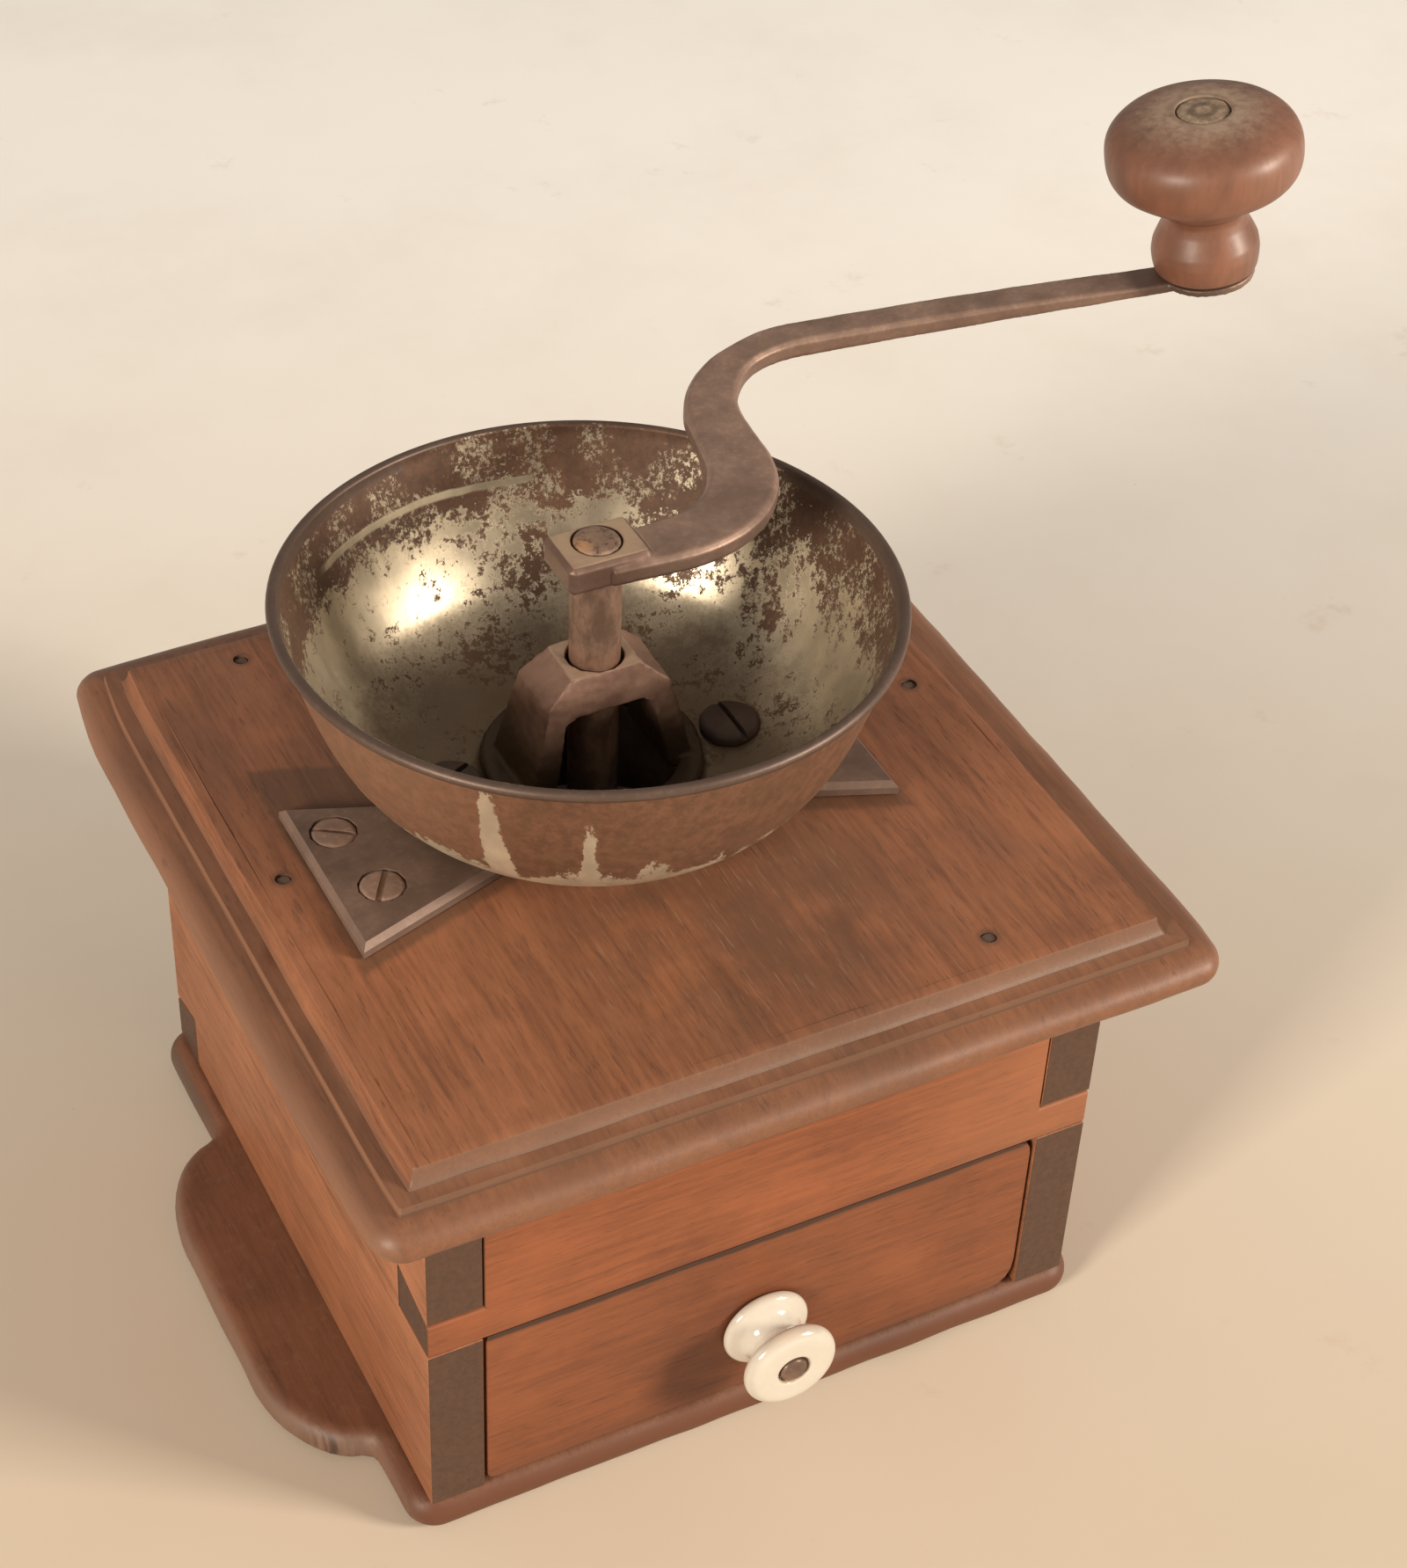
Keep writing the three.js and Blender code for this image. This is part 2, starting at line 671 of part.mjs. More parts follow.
// Hopper bowl: curved sheet wall with a wired rim
const bowlRadiusAt = (share) => {
  const curved = 1 - (1 - share) ** bowlFlare;
  const outShare = bowlStraightShare * share + (1 - bowlStraightShare) * curved;
  return bowlFloorRadius + (bowlRimRadius - bowlFloorRadius) * outShare;
};
{
  const steps = 8;
  const outside = [];
  for (let k = 0; k <= steps; k++) {
    const share = (k / steps) ** 1.6;
    outside.push([bowlRadiusAt(share), share * (bowlHeight - wireRadius)]);
  }
  const inside = outside.map(([r, z], k) => {
    const [r0, z0] = outside[Math.max(k - 1, 0)];
    const [r1, z1] = outside[Math.min(k + 1, steps)];
    const run = Math.hypot(r1 - r0, z1 - z0);
    const lean = k === 0 ? 0 : (z1 - z0) / run;
    const flat = k === 0 ? 1 : (r1 - r0) / run;
    return [r - sheet * lean, z + sheet * flat];
  });
  const wire = [];
  const wireSteps = 5;
  const wireZ = bowlHeight - wireRadius;
  for (let k = 0; k <= wireSteps; k++) {
    const angle = (-0.6 + 1.35 * k / wireSteps) * Math.PI;
    wire.push([bowlRimRadius + wireRadius * Math.cos(angle), wireZ + wireRadius * Math.sin(angle)]);
  }
  const profile = [[0, 0], ...outside.slice(0, -1), ...wire, ...inside.reverse(), [0, sheet]];
  const bowl = revolve(profile, fineSides)
    .scale(1 + bowlOvalShare, 1 - bowlOvalShare, 1)
    .rotateZ(bowlOvalTurn)
    .translate(bowlX, bowlY, bowlFoot);
  const throat = rod(millX, millY, bowlFoot - overrun, bowlFloor + overrun, throatRadius + seat);
  const screwHoles = hopperScrewPlaces.map(([x, y]) =>
    rod(x, y, bowlFoot - overrun, bowlFloor + overrun, hopperScrewCore + seat, pinSides));
  add("hopper_bowl", cut(bowl, throat, ...screwHoles), tinned);
}

// Grinding shell: neck through the lid, ears under it, ribbed bore
const boreRadius = throatRadius - neckWall;
const boreFoot = boreRadius + shellFlare;
function starRing(radius, depth, teeth, pointsPerTooth, turn, z) {
  const ring = [];
  const count = teeth * pointsPerTooth;
  for (let i = 0; i < count; i++) {
    const angle = 2 * Math.PI * i / count;
    const phase = (i % pointsPerTooth) / pointsPerTooth;
    const wave = Math.abs(2 * phase - 1);
    const r = radius - depth * (1 - wave);
    ring.push(new THREE.Vector3(r * Math.cos(angle + turn), r * Math.sin(angle + turn), z));
  }
  return ring;
}
{
  const neckTop = bowlFloor;
  const outerFoot = boreFoot + shellFootWall;
  const flareTop = shellFoot + shellFlareDrop;
  const body = revolve([
    [0, shellFoot], [outerFoot, shellFoot], [outerFoot, shellFoot + shellRim], [throatRadius, flareTop],
    [throatRadius, neckTop], [0, neckTop],
  ]).translate(millX, millY, 0);
  const ears = [
    block([millX - earReach, millY - earHalf, earFoot], [millX + earReach, millY + earHalf, earTop]),
    block([millX - earHalf, millY - earReach, earFoot], [millX + earHalf, millY + earReach, earTop]),
  ];
  const bore = loft([
    starRing(boreFoot, 0, fineTeeth, 2, 0, shellFoot - overrun),
    starRing(boreFoot, boreFoot * toothDepthShare, fineTeeth, 2, 0, shellFoot),
    starRing(boreRadius, boreRadius * toothDepthShare, fineTeeth, 2, boreTwist, flareTop),
    starRing(boreRadius, 0, fineTeeth, 2, boreTwist, flareTop + boreBlend),
    starRing(boreRadius, 0, fineTeeth, 2, boreTwist, neckTop + overrun),
  ]).translate(millX, millY, 0);
  const holes = [
    ...hopperScrewPlaces.map(([x, y]) =>
      rod(x, y, earFoot - overrun, earTop + overrun, hopperScrewCore + seat, pinSides)),
    ...[-1, 1].map((side) => rod(millX, millY + side * studReach,
      earFoot - overrun, earTop + overrun, studRadius + seat, boltSides)),
  ];
  add("outer_burr", cut(join(body, ...ears), bore, ...holes), castIron);

  // Two screws clamp the bowl and the plate down to the shell's ears
  const screwLength = bowlFloor + seat - earFoot;
  const screwTurns = [0.5, 2.45];
  addEach("hopper_screw", hopperScrewPlaces.map(([x, y], i) =>
    screw(hopperScrewHead, hopperScrewHeadThick, hopperScrewCore, screwLength, screwTurns[i])
      .translate(x, y, bowlFloor + seat)), forgedIron);
}

// Bridge: a cast arch over the throat on a ring
{
  const h = bridgeTop - ringFoot;
  const half = [
    [bridgeTopHalf, h], [bridgeShoulderHalf, h - shoulderDrop], [bridgeFootHalf, 0],
  ];
  const opening = [
    [archFootInnerHalf, 0], [archInnerHalf, h - archThick - archChamfer], [archInnerTopHalf, h - archThick],
  ];
  const right = [...half, ...opening];
  const left = right.map(([x, z]) => [-x, z]).reverse();
  const arch = slabAlongY([...left, ...right], -bridgeFootWidth, bridgeFootWidth);
  const side = slabAlongX([
    [-bridgeFootWidth / 2, 0], [bridgeFootWidth / 2, 0], [bridgeTopWidth / 2, h - shoulderDrop],
    [bridgeTopWidth / 2 - archChamfer, h], [-bridgeTopWidth / 2 + archChamfer, h],
    [-bridgeTopWidth / 2, h - shoulderDrop],
  ], -bridgeFootHalf - overrun, bridgeFootHalf + overrun);
  const ring = revolve([
    [boreRadius, 0], [ringRadius, 0], [ringRadius, ringThick - ringChamfer],
    [ringRadius - ringChamfer, ringThick], [boreRadius, ringThick], [boreRadius, 0],
  ]);
  const bearing = rod(0, 0, -overrun, h + overrun, spindleRadius + journalGap);
  const body = cut(join(keep(arch, side), ring), bearing);
  add("bridge", body.translate(millX, millY, ringFoot), castIron);
}

// Spindle with pointed toe and riveted tenon
{
  const profile = [
    [0, toeTip], [toeTipRadius, toeTip], [spindleRadius * 0.78, toeTip + toeLength],
    [spindleRadius, toeTip + toeLength + toeShoulder],
    [spindleRadius, hubFoot - seat], [tenonRadius, hubFoot - seat], [tenonRadius, hubTop],
    [tenonRadius * 0.8, hubTop + tenonProud], [0, hubTop + tenonProud * 1.3],
  ];
  const pinZ = burrFoot + burrTopRise - burrPinDrop;
  const pinHalf = spindleRadius + burrPinReach;
  const pin = new THREE.CylinderGeometry(burrPinRadius, burrPinRadius, 2 * pinHalf, pinSides);
  const holeRadius = burrPinRadius + seat;
  const pinHole = new THREE.CylinderGeometry(holeRadius, holeRadius, 4 * pinHalf, pinSides);
  const spindle = cut(revolve(profile, roundSides), pinHole.clone().translate(0, 0, pinZ));
  add("spindle", spindle.translate(millX, millY, 0), forgedIron);
  add("burr_pin", pin.translate(millX, millY, pinZ), forgedIron);

  // Inner burr: coarse helical flutes over a toothed foot
  const footRadius = boreFoot * (1 - toothDepthShare) - burrGap;
  const rings = [];
  const steps = 5;
  for (let k = 0; k <= steps; k++) {
    const share = k / steps;
    const radius = footRadius + (burrTopRadius - footRadius) * share ** 0.8;
    const depth = radius * fluteDepthShare * Math.min(1, share * 3);
    const z = burrFoot + shellFlareDrop * 0.75 + (burrTopRise - shellFlareDrop * 0.75) * share;
    rings.push(starRing(radius * (1 - 0.12 * (1 - share)), depth, coarseFlutes, 4, fluteTwist * share, z));
  }
  const flutes = loft(rings);
  const toothRings = [0, 1].map((share) => {
    const radius = footRadius - shellFlare * share;
    return starRing(radius, radius * toothDepthShare * 1.6, fineTeeth, 2, -0.12 * share,
      burrFoot + shellFlareDrop * share);
  });
  const burr = cut(join(flutes, loft(toothRings)),
    rod(0, 0, burrFoot - overrun, burrFoot + burrTopRise + overrun, spindleRadius + seat),
    pinHole.clone().translate(0, 0, pinZ));
  add("inner_burr", burr.translate(millX, millY, 0), castIron);
}

// Toe bar with a socket for the toe, hung on two studs
{
  const reach = studReach + barOverStud;
  const bar = block([-barHalfWidth, -reach, barFoot], [barHalfWidth, reach, barTop]);
  const socketRadius = spindleRadius;
  const socket = rod(0, 0, barTop - toeSink, barTop + seat, toeTipRadius + seat, boltSides, socketRadius);
  const holes = [-1, 1].map((side) =>
    rod(0, side * studReach, barFoot - overrun, barTop + overrun, studRadius + journalGap, boltSides));
  add("toe_bar", cut(bar, socket, ...holes).translate(millX, millY, 0), forgedIron);

  const studTop = earTop - seat;
  const headTop = barFoot - liftTravel - seat;
  const collarTop = earFoot - seat;
  const collar = (y) =>
    rod(0, y, collarTop - studCollarThick, collarTop, studCollarRadius, boltSides);
  const nutStud = join(
    rod(0, -studReach, barFoot - studTail, studTop, studRadius, boltSides),
    collar(-studReach),
  );
  const headedStud = join(
    rod(0, studReach, headTop - studHeadThick / 2, studTop, studRadius, boltSides),
    rod(0, studReach, headTop - studHeadThick, headTop, studHeadRadius, 6),
    collar(studReach),
  );
  add("nut_stud", nutStud.translate(millX, millY, 0), forgedIron);
  add("headed_stud", headedStud.translate(millX, millY, 0), forgedIron);

  // Wing nut under the bar, on the front stud
  const nutTop = barFoot - seat;
  const ears = slabAlongX([
    [-wingSpan, nutTop - wingRise], [-wingSpan * 0.55, nutTop - wingRise * 1.02],
    [-nutRadius * 0.8, nutTop - nutThick], [nutRadius * 0.8, nutTop - nutThick],
    [wingSpan * 0.55, nutTop - wingRise * 1.02], [wingSpan, nutTop - wingRise],
    [wingSpan * 0.92, nutTop - nutThick * 0.45], [nutRadius * 0.8, nutTop - nutThick * 0.18],
    [-nutRadius * 0.8, nutTop - nutThick * 0.18], [-wingSpan * 0.92, nutTop - nutThick * 0.45],
  ], -wingThick / 2, wingThick / 2);
  const core = rod(0, 0, nutTop - nutThick, nutTop, nutRadius * 0.85, boltSides, nutRadius);
  const bore = rod(0, 0, nutTop - wingRise * 2, nutTop + overrun, studRadius + seat, boltSides);
  add("adjusting_nut", cut(join(core, ears), bore).translate(millX, millY - studReach, 0), forgedIron);
}

// Crank arm: a bar that curves left, then right, and climbs to the eye under the knob
function armStations() {
  const runs = [
    { length: armStraight, bend: 0, steps: 2 },
    { length: firstBendRadius * firstBend, bend: firstBend, steps: 8 },
    { length: armLink, bend: 0, steps: 2 },
    { length: secondBendRadius * secondBend, bend: -secondBend, steps: 8 },
    { length: sweepLength, bend: -sweepLength / sweepRadius, steps: 6 },
  ];
  const total = runs.reduce((sum, run) => sum + run.length, 0);
  const flatLength = armStraight + firstBendRadius * firstBend * 0.7;
  let x = millX;
  let y = millY + hubShiftY + armShiftY;
  let heading = 0;
  let travelled = 0;
  const stations = [{ x, y, heading, travelled }];
  for (const run of runs) {
    for (let k = 0; k < run.steps; k++) {
      const length = run.length / run.steps;
      const bend = run.bend / run.steps;
      const mean = heading + bend / 2;
      const chord = bend === 0 ? length : length * Math.sin(bend / 2) / (bend / 2);
      x += chord * Math.cos(mean);
      y += chord * Math.sin(mean);
      heading += bend;
      travelled += length;
      stations.push({ x, y, heading, travelled });
    }
  }
  for (const station of stations) {
    const climb = Math.max(0, (station.travelled - flatLength) / (total - flatLength));
    station.z = armTop + armRise * climb ** riseExponent;
    station.slope = armRise * riseExponent * climb ** (riseExponent - 1) / (total - flatLength);
    station.share = station.travelled / total;
  }
  return stations;
}
const stations = armStations();
const knobStation = stations[stations.length - 1];

function armWidthAt(share) {
  const shares = [0, 0.22, 0.34, 0.46, 1];
  const widths = [armWidthHub, armWidthBend, armWidthLink, armWidthSweep, armWidthEnd];
  let k = 1;
  while (k < shares.length - 1 && share > shares[k]) k++;
  const blend = (share - shares[k - 1]) / (shares[k] - shares[k - 1]);
  return widths[k - 1] + (widths[k] - widths[k - 1]) * Math.min(1, blend);
}

const crankLift = new THREE.Group();
group.add(crankLift);
const knobFrame = new THREE.Group();
knobFrame.position.set(
  knobStation.x - eyeShift * Math.sin(knobStation.heading),
  knobStation.y + eyeShift * Math.cos(knobStation.heading),
  knobStation.z,
);
knobFrame.rotation.set(0, -knobLean, knobStation.heading, "ZYX");
crankLift.add(knobFrame);
knobFrame.updateMatrixWorld(true);
{
  const rings = stations.map(({ x, y, z, heading, share }) => {
    const half = armWidthAt(share) / 2;
    const thick = armThick + (armEndThick - armThick) * share ** armTaper;
    const chamfer = armChamfer * thick / armThick;
    const section = [
      [-half, -thick + chamfer], [-half + chamfer * 0.6, -thick],
      [half - chamfer * 0.6, -thick], [half, -thick + chamfer],
      [half, -chamfer], [half - chamfer, 0], [-half + chamfer, 0], [-half, -chamfer],
    ];
    return section.map(([across, up]) => new THREE.Vector3(
      x - across * Math.sin(heading), y + across * Math.cos(heading), z + up,
    ));
  });
  const bar = loft(rings);
  const hubHalfX = hubLength / 2;
  const hubHalfY = hubWidth / 2;
  const hubRing = (inset, z) => [[1, -1], [1, 1], [-1, 1], [-1, -1]].map(([sx, sy]) => new THREE.Vector3(
    millX + sx * (hubHalfX - inset), millY + hubShiftY + sy * (hubHalfY - inset), z,
  ));
  const hub = loft([
    hubRing(hubChamfer, hubFoot), hubRing(0, hubFoot + hubChamfer), hubRing(0, hubTop - hubChamfer * 0.5),
    hubRing(hubChamfer * 0.5, hubTop),
  ]);
  const eye = rod(0, 0, -eyeThick, -seat / 2, eyeRadius * 0.94, roundSides, eyeRadius)
    .applyMatrix4(knobFrame.matrixWorld);
  const trim = rod(0, 0, -seat / 2, armThick * 3, eyeRadius * 1.2, nailSides)
    .applyMatrix4(knobFrame.matrixWorld);
  const pinHole = rod(0, 0, -armThick * 2, armThick * 2, knobPinRadius + seat, boltSides)
    .applyMatrix4(knobFrame.matrixWorld);
  const tenonHole = rod(millX, millY, hubFoot - overrun, hubTop + overrun, tenonRadius + seat);
  add("crank_arm", cut(join(hub, bar, eye), trim, pinHole, tenonHole), forgedIron, crankLift);
}

// Crank knob and the pin it turns on, built upright in the eye's own frame
{
  const foot = seat;
  const profile = [
    [knobPinRadius + journalGap, foot], [knobBaseRadius, foot],
    [knobBulgeRadius, foot + knobBulgeRise], [knobBulgeRadius * 0.97, foot + knobNeckRise * 0.62],
    [knobNeckRadius * 1.04, foot + knobNeckRise * 0.85], [knobNeckRadius, foot + knobNeckRise],
    [knobNeckRadius * 1.1, foot + knobNeckRise * 1.18],
  ];
  const headStart = -58;
  const steps = 10;
  for (let k = 0; k <= steps; k++) {
    const angle = (headStart + (90 - headStart) * k / steps) * Math.PI / 180;
    const rise = Math.sign(angle) * Math.abs(Math.sin(angle)) ** knobRound;
    profile.push([
      Math.max(knobPinHead + seat, knobHeadRadius * Math.max(0, Math.cos(angle)) ** knobRound),
      knobHeadRise + knobHeadHalf * rise,
    ]);
  }
  const top = profile[profile.length - 1][1];
  const sinkTop = top - knobPinSink - rivetHeadThick;
  profile.push([knobPinHead + seat, sinkTop], [knobPinRadius + journalGap, sinkTop],
    [knobPinRadius + journalGap, foot]);
  add("crank_knob", revolve(profile, knobSides), turnedWood, knobFrame);
  const pin = revolve([
    [0, -eyeThick - rivetHeadThick], [knobPinHead * 0.6, -eyeThick - rivetHeadThick],
    [knobPinHead * 0.8, -eyeThick - seat], [knobPinRadius, -eyeThick - seat],
    [knobPinRadius, sinkTop + seat], [knobPinHead, sinkTop + seat],
    [knobPinHead, sinkTop + rivetHeadThick * 0.7], [knobPinHead * 0.5, sinkTop + rivetHeadThick],
    [0, sinkTop + rivetHeadThick * 1.1],
  ], boltSides);
  add("knob_pin", pin, forgedIron, knobFrame);
}

// Drawer, in a group that stands at its closed place
{
  const half = innerHalf - slideGap;
  const foot = caseFoot + slideGap;
  const frontTop = railFoot - slideGap;
  const faceY = frontY + drawerInset;
  const backFaceY = faceY + drawerFrontThick;
  const endY = faceY + drawerDepth;
  const knobZ = (foot + frontTop) / 2 - knobDrop;
  const shape = new THREE.Shape();
  const wear = drawerCornerWear;
  shape.moveTo(-half + wear * 0.6, foot);
  shape.lineTo(half - wear * 1.6, foot);
  shape.quadraticCurveTo(half, foot, half, foot + wear * 1.9);
  shape.lineTo(half, frontTop - wear);
  shape.quadraticCurveTo(half, frontTop, half - wear, frontTop);
  shape.lineTo(-half + wear * 0.5, frontTop);
  shape.quadraticCurveTo(-half, frontTop, -half, frontTop - wear * 0.5);
  shape.lineTo(-half, foot + wear * 0.6);
  shape.quadraticCurveTo(-half, foot, -half + wear * 0.6, foot);
  const panel = slab(shape, 0, drawerFrontThick, frontBevel, 2)
    .rotateX(Math.PI / 2)
    .translate(0, backFaceY, 0);
  const rabbets = [-1, 1].map((side) => {
    const inner = side * (half - drawerSideThick - seat);
    const outer = side * (half + overrun);
    return block([Math.min(inner, outer), backFaceY - rabbetDepth, foot - overrun],
      [Math.max(inner, outer), backFaceY + overrun, foot + drawerSideHeight + seat]);
  });
  const groove = block([-half, backFaceY - rabbetDepth / 2, foot - overrun],
    [half, backFaceY + overrun, foot + drawerBottomThick + seat]);
  const holeRadius = boltRadius + seat;
  const boltHole = new THREE.CylinderGeometry(holeRadius, holeRadius, drawerFrontThick * 3, pinSides)
    .translate(0, faceY, knobZ);
  add("drawer_front", cut(panel, ...rabbets, groove, boltHole), paleWalnut);

  const sideStart = backFaceY - rabbetDepth + seat;
  const bottomTop = foot + drawerBottomThick;
  for (const side of [-1, 1]) {
    const outer = side * half;
    const inner = side * (half - drawerSideThick);
    const board = block([Math.min(outer, inner), sideStart, foot],
      [Math.max(outer, inner), endY, foot + drawerSideHeight]);
    const reach = side * (half - drawerSideThick - overrun);
    const notch = block(
      [Math.min(reach, side * (half - drawerSideThick / 2)), sideStart - overrun, foot - overrun],
      [Math.max(reach, side * (half - drawerSideThick / 2)), endY + overrun, bottomTop + seat]);
    add(side < 0 ? "drawer_left_side" : "drawer_right_side", cut(board, notch), poplar);
  }
  const innerSide = half - drawerSideThick - seat;
  add("drawer_back", block([-innerSide, endY - drawerSideThick, bottomTop + seat],
    [innerSide, endY, foot + drawerSideHeight]), poplar);
  const bottomHalf = half - drawerSideThick / 2 - seat;
  add("drawer_bottom", block([-bottomHalf, backFaceY - rabbetDepth / 2 + seat, foot],
    [bottomHalf, endY, bottomTop]), poplar);

  // Nails through the sides into the drawer's back
  const nailShares = [0.3, 0.75];
  const nailZ = nailShares.map((share) => foot + drawerSideHeight * share);
  const sideNails = [];
  for (const side of [-1, 1]) {
    for (const z of nailZ) sideNails.push([side, z]);
  }
  const sideNailLength = drawerSideThick * 2.2;
  const nailY = endY - drawerSideThick / 2;
  const placeNail = (geometry, side, z) => geometry.rotateY(side * Math.PI / 2)
    .translate(side * (half - seat), nailY, z);
  for (const name of ["drawer_left_side", "drawer_right_side", "drawer_back"]) {
    const mesh = group.getObjectByName(name);
    mesh.geometry = cut(mesh.geometry,
      ...sideNails.map(([side, z]) => placeNail(nailHole(sideNailLength), side, z)));
  }
  addEach("drawer_nail",
    sideNails.map(([side, z]) => placeNail(nail(sideNailLength), side, z)), forgedIron);

  // Porcelain knob: rose, waist and disc, bolted through the front
  const knobProfile = [
    [holeRadius, 0], [roseRadius, 0],
    [roseRadius, roseThick * 0.5], [roseRadius * 0.93, roseThick * 0.85],
    [roseRadius * 0.7, roseThick * 1.2], [waistRadius * 1.1, roseThick * 1.7],
    [waistRadius, porcelainLength * 0.45], [waistRadius * 1.12, porcelainLength - discThick * 1.35],
    [discRadius * 0.7, porcelainLength - discThick * 1.08],
    [discRadius * 0.93, porcelainLength - discThick * 0.85],
    [discRadius, porcelainLength - discThick * 0.5],
    [discRadius * 0.95, porcelainLength - discThick * 0.18], [discRadius * 0.82, porcelainLength],
    [boltHeadRadius * 1.45, porcelainLength], [boltHeadRadius * 1.2, porcelainLength - boltHeadThick],
    [holeRadius, porcelainLength - boltHeadThick], [holeRadius, 0],
  ];
  const facing = (geometry) => geometry.rotateX(Math.PI / 2).translate(0, faceY - seat, knobZ);
  add("drawer_knob", facing(revolve(knobProfile)), porcelain);
  const tail = drawerFrontThick + 2 * seat + washerThick + squareNutThick + boltTail;
  const boltProfile = [
    [0, -tail], [boltRadius, -tail], [boltRadius, porcelainLength - boltHeadThick + seat],
    [boltHeadRadius, porcelainLength - boltHeadThick + seat],
    [boltHeadRadius, porcelainLength - boltHeadDome * 0.4],
    [boltHeadRadius * 0.7, porcelainLength + boltHeadDome * 0.7], [0, porcelainLength + boltHeadDome],
  ];
  add("knob_bolt", facing(revolve(boltProfile, boltSides)), steel);
  const nutFace = backFaceY + seat;
  const washer = cut(new THREE.CylinderGeometry(washerRadius, washerRadius, washerThick, boltSides),
    new THREE.CylinderGeometry(boltRadius + seat, boltRadius + seat, washerThick * 3, pinSides));
  add("knob_washer", washer.translate(0, nutFace + washerThick / 2, knobZ), steel);
  const nutY = nutFace + washerThick + seat + squareNutThick / 2;
  const nut = cut(new THREE.BoxGeometry(squareNut, squareNutThick, squareNut),
    new THREE.CylinderGeometry(boltRadius + seat, boltRadius + seat, squareNutThick * 3, pinSides));
  add("knob_nut", nut.translate(0, nutY, knobZ), steel);
}

export default group;
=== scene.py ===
"""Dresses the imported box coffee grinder: walnut case, brown iron mill, tinned hopper and porcelain knob."""
import json
import math

import bmesh
import bpy
from mathutils import Matrix, Vector, noise


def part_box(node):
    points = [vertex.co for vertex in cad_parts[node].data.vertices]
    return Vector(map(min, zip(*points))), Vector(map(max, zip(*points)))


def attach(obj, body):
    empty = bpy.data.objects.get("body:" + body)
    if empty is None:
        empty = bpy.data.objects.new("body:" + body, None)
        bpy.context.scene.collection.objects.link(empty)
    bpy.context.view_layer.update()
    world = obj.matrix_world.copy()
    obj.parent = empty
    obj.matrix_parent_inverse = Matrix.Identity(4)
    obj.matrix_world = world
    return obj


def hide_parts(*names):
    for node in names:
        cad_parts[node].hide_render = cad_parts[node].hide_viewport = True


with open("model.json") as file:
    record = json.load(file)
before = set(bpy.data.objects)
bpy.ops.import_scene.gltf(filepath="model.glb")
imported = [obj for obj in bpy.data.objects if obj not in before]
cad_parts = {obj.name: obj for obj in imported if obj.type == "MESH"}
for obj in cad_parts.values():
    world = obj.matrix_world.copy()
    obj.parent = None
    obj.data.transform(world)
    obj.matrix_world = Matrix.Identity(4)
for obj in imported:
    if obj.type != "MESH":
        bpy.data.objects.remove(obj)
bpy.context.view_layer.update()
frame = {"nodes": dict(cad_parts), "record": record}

bl_info = {
    "name": "Box Coffee Grinder",
    "version": (1, 0, 0),
    "blender": (4, 5, 0),
    "location": "View3D > Sidebar > Grinder",
    "description": "Builds the visible pieces of a wooden box coffee grinder over its CAD frame",
    "category": "Object",
}

MM = 0.001


def corners(node):
    """The lowest and highest corner of a CAD node, in millimetres."""
    low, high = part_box(node)
    return Vector(low) / MM, Vector(high) / MM


def middle(node):
    """The middle of a CAD node's box, in millimetres."""
    low, high = corners(node)
    return (low + high) / 2


SPINDLE = middle("spindle")
BOWL = middle("hopper_bowl")
BOWL_FOOT = corners("hopper_bowl")[0].z
BOWL_TOP = corners("hopper_bowl")[1].z
LID_LOW, LID_HIGH = corners("lid_board")
LID_MIDDLE = middle("lid_board")
BASE_LOW, BASE_HIGH = corners("base_board")
CASE_HIGH = corners("right_side")[1]
THROAT = 17.8
QUARTER = math.pi / 2
SAME_POINT = 0.001
THIN = 0.005


# Sizes and colours that a user would change

def length(name, text, default):
    """A length property whose default is given in millimetres."""
    return bpy.props.FloatProperty(
        name=name, description=text, default=default * MM, unit="LENGTH", precision=5)


def colour(name, text, default):
    """A linear colour property."""
    return bpy.props.FloatVectorProperty(
        name=name, description=text, default=default, subtype="COLOR", size=3, min=0.0, max=1.0)


def plain(name, text, default):
    """A property for a number without a unit."""
    return bpy.props.FloatProperty(name=name, description=text, default=default)


class GrinderSizes(bpy.types.PropertyGroup):
    """Sizes of the pieces that the scene models over the frame."""
    sheet: length("Bowl sheet", "Thickness of the hopper's sheet iron", 0.9)
    wire: length("Rim wire", "Radius of the rolled rim of the hopper", 1.05)
    bowl_floor: length("Bowl floor", "Radius of the hopper's flat floor", 32.6)
    bowl_straight: plain("Straight share", "Share of the hopper's flare that rises evenly", 0.53)
    bowl_flare: plain("Flare", "Exponent of the curve at the foot of the hopper's wall", 4.5)
    lid_corner: length("Lid corner", "Radius of the lid's corners in plan", 5.5)
    board_edge: length("Board edge", "Softening of the boards' edges", 0.45)
    iron_edge: length("Iron edge", "Softening of the iron pieces' edges", 0.3)
    arm_chamfer: length("Arm chamfer", "Chamfer along the top of the crank arm", 0.9)
    cast_voxel: length("Casting grain", "Voxel of the remeshed iron pieces", 0.42)
    slot_width: length("Screw slot", "Width of the screws' slots", 1.1)


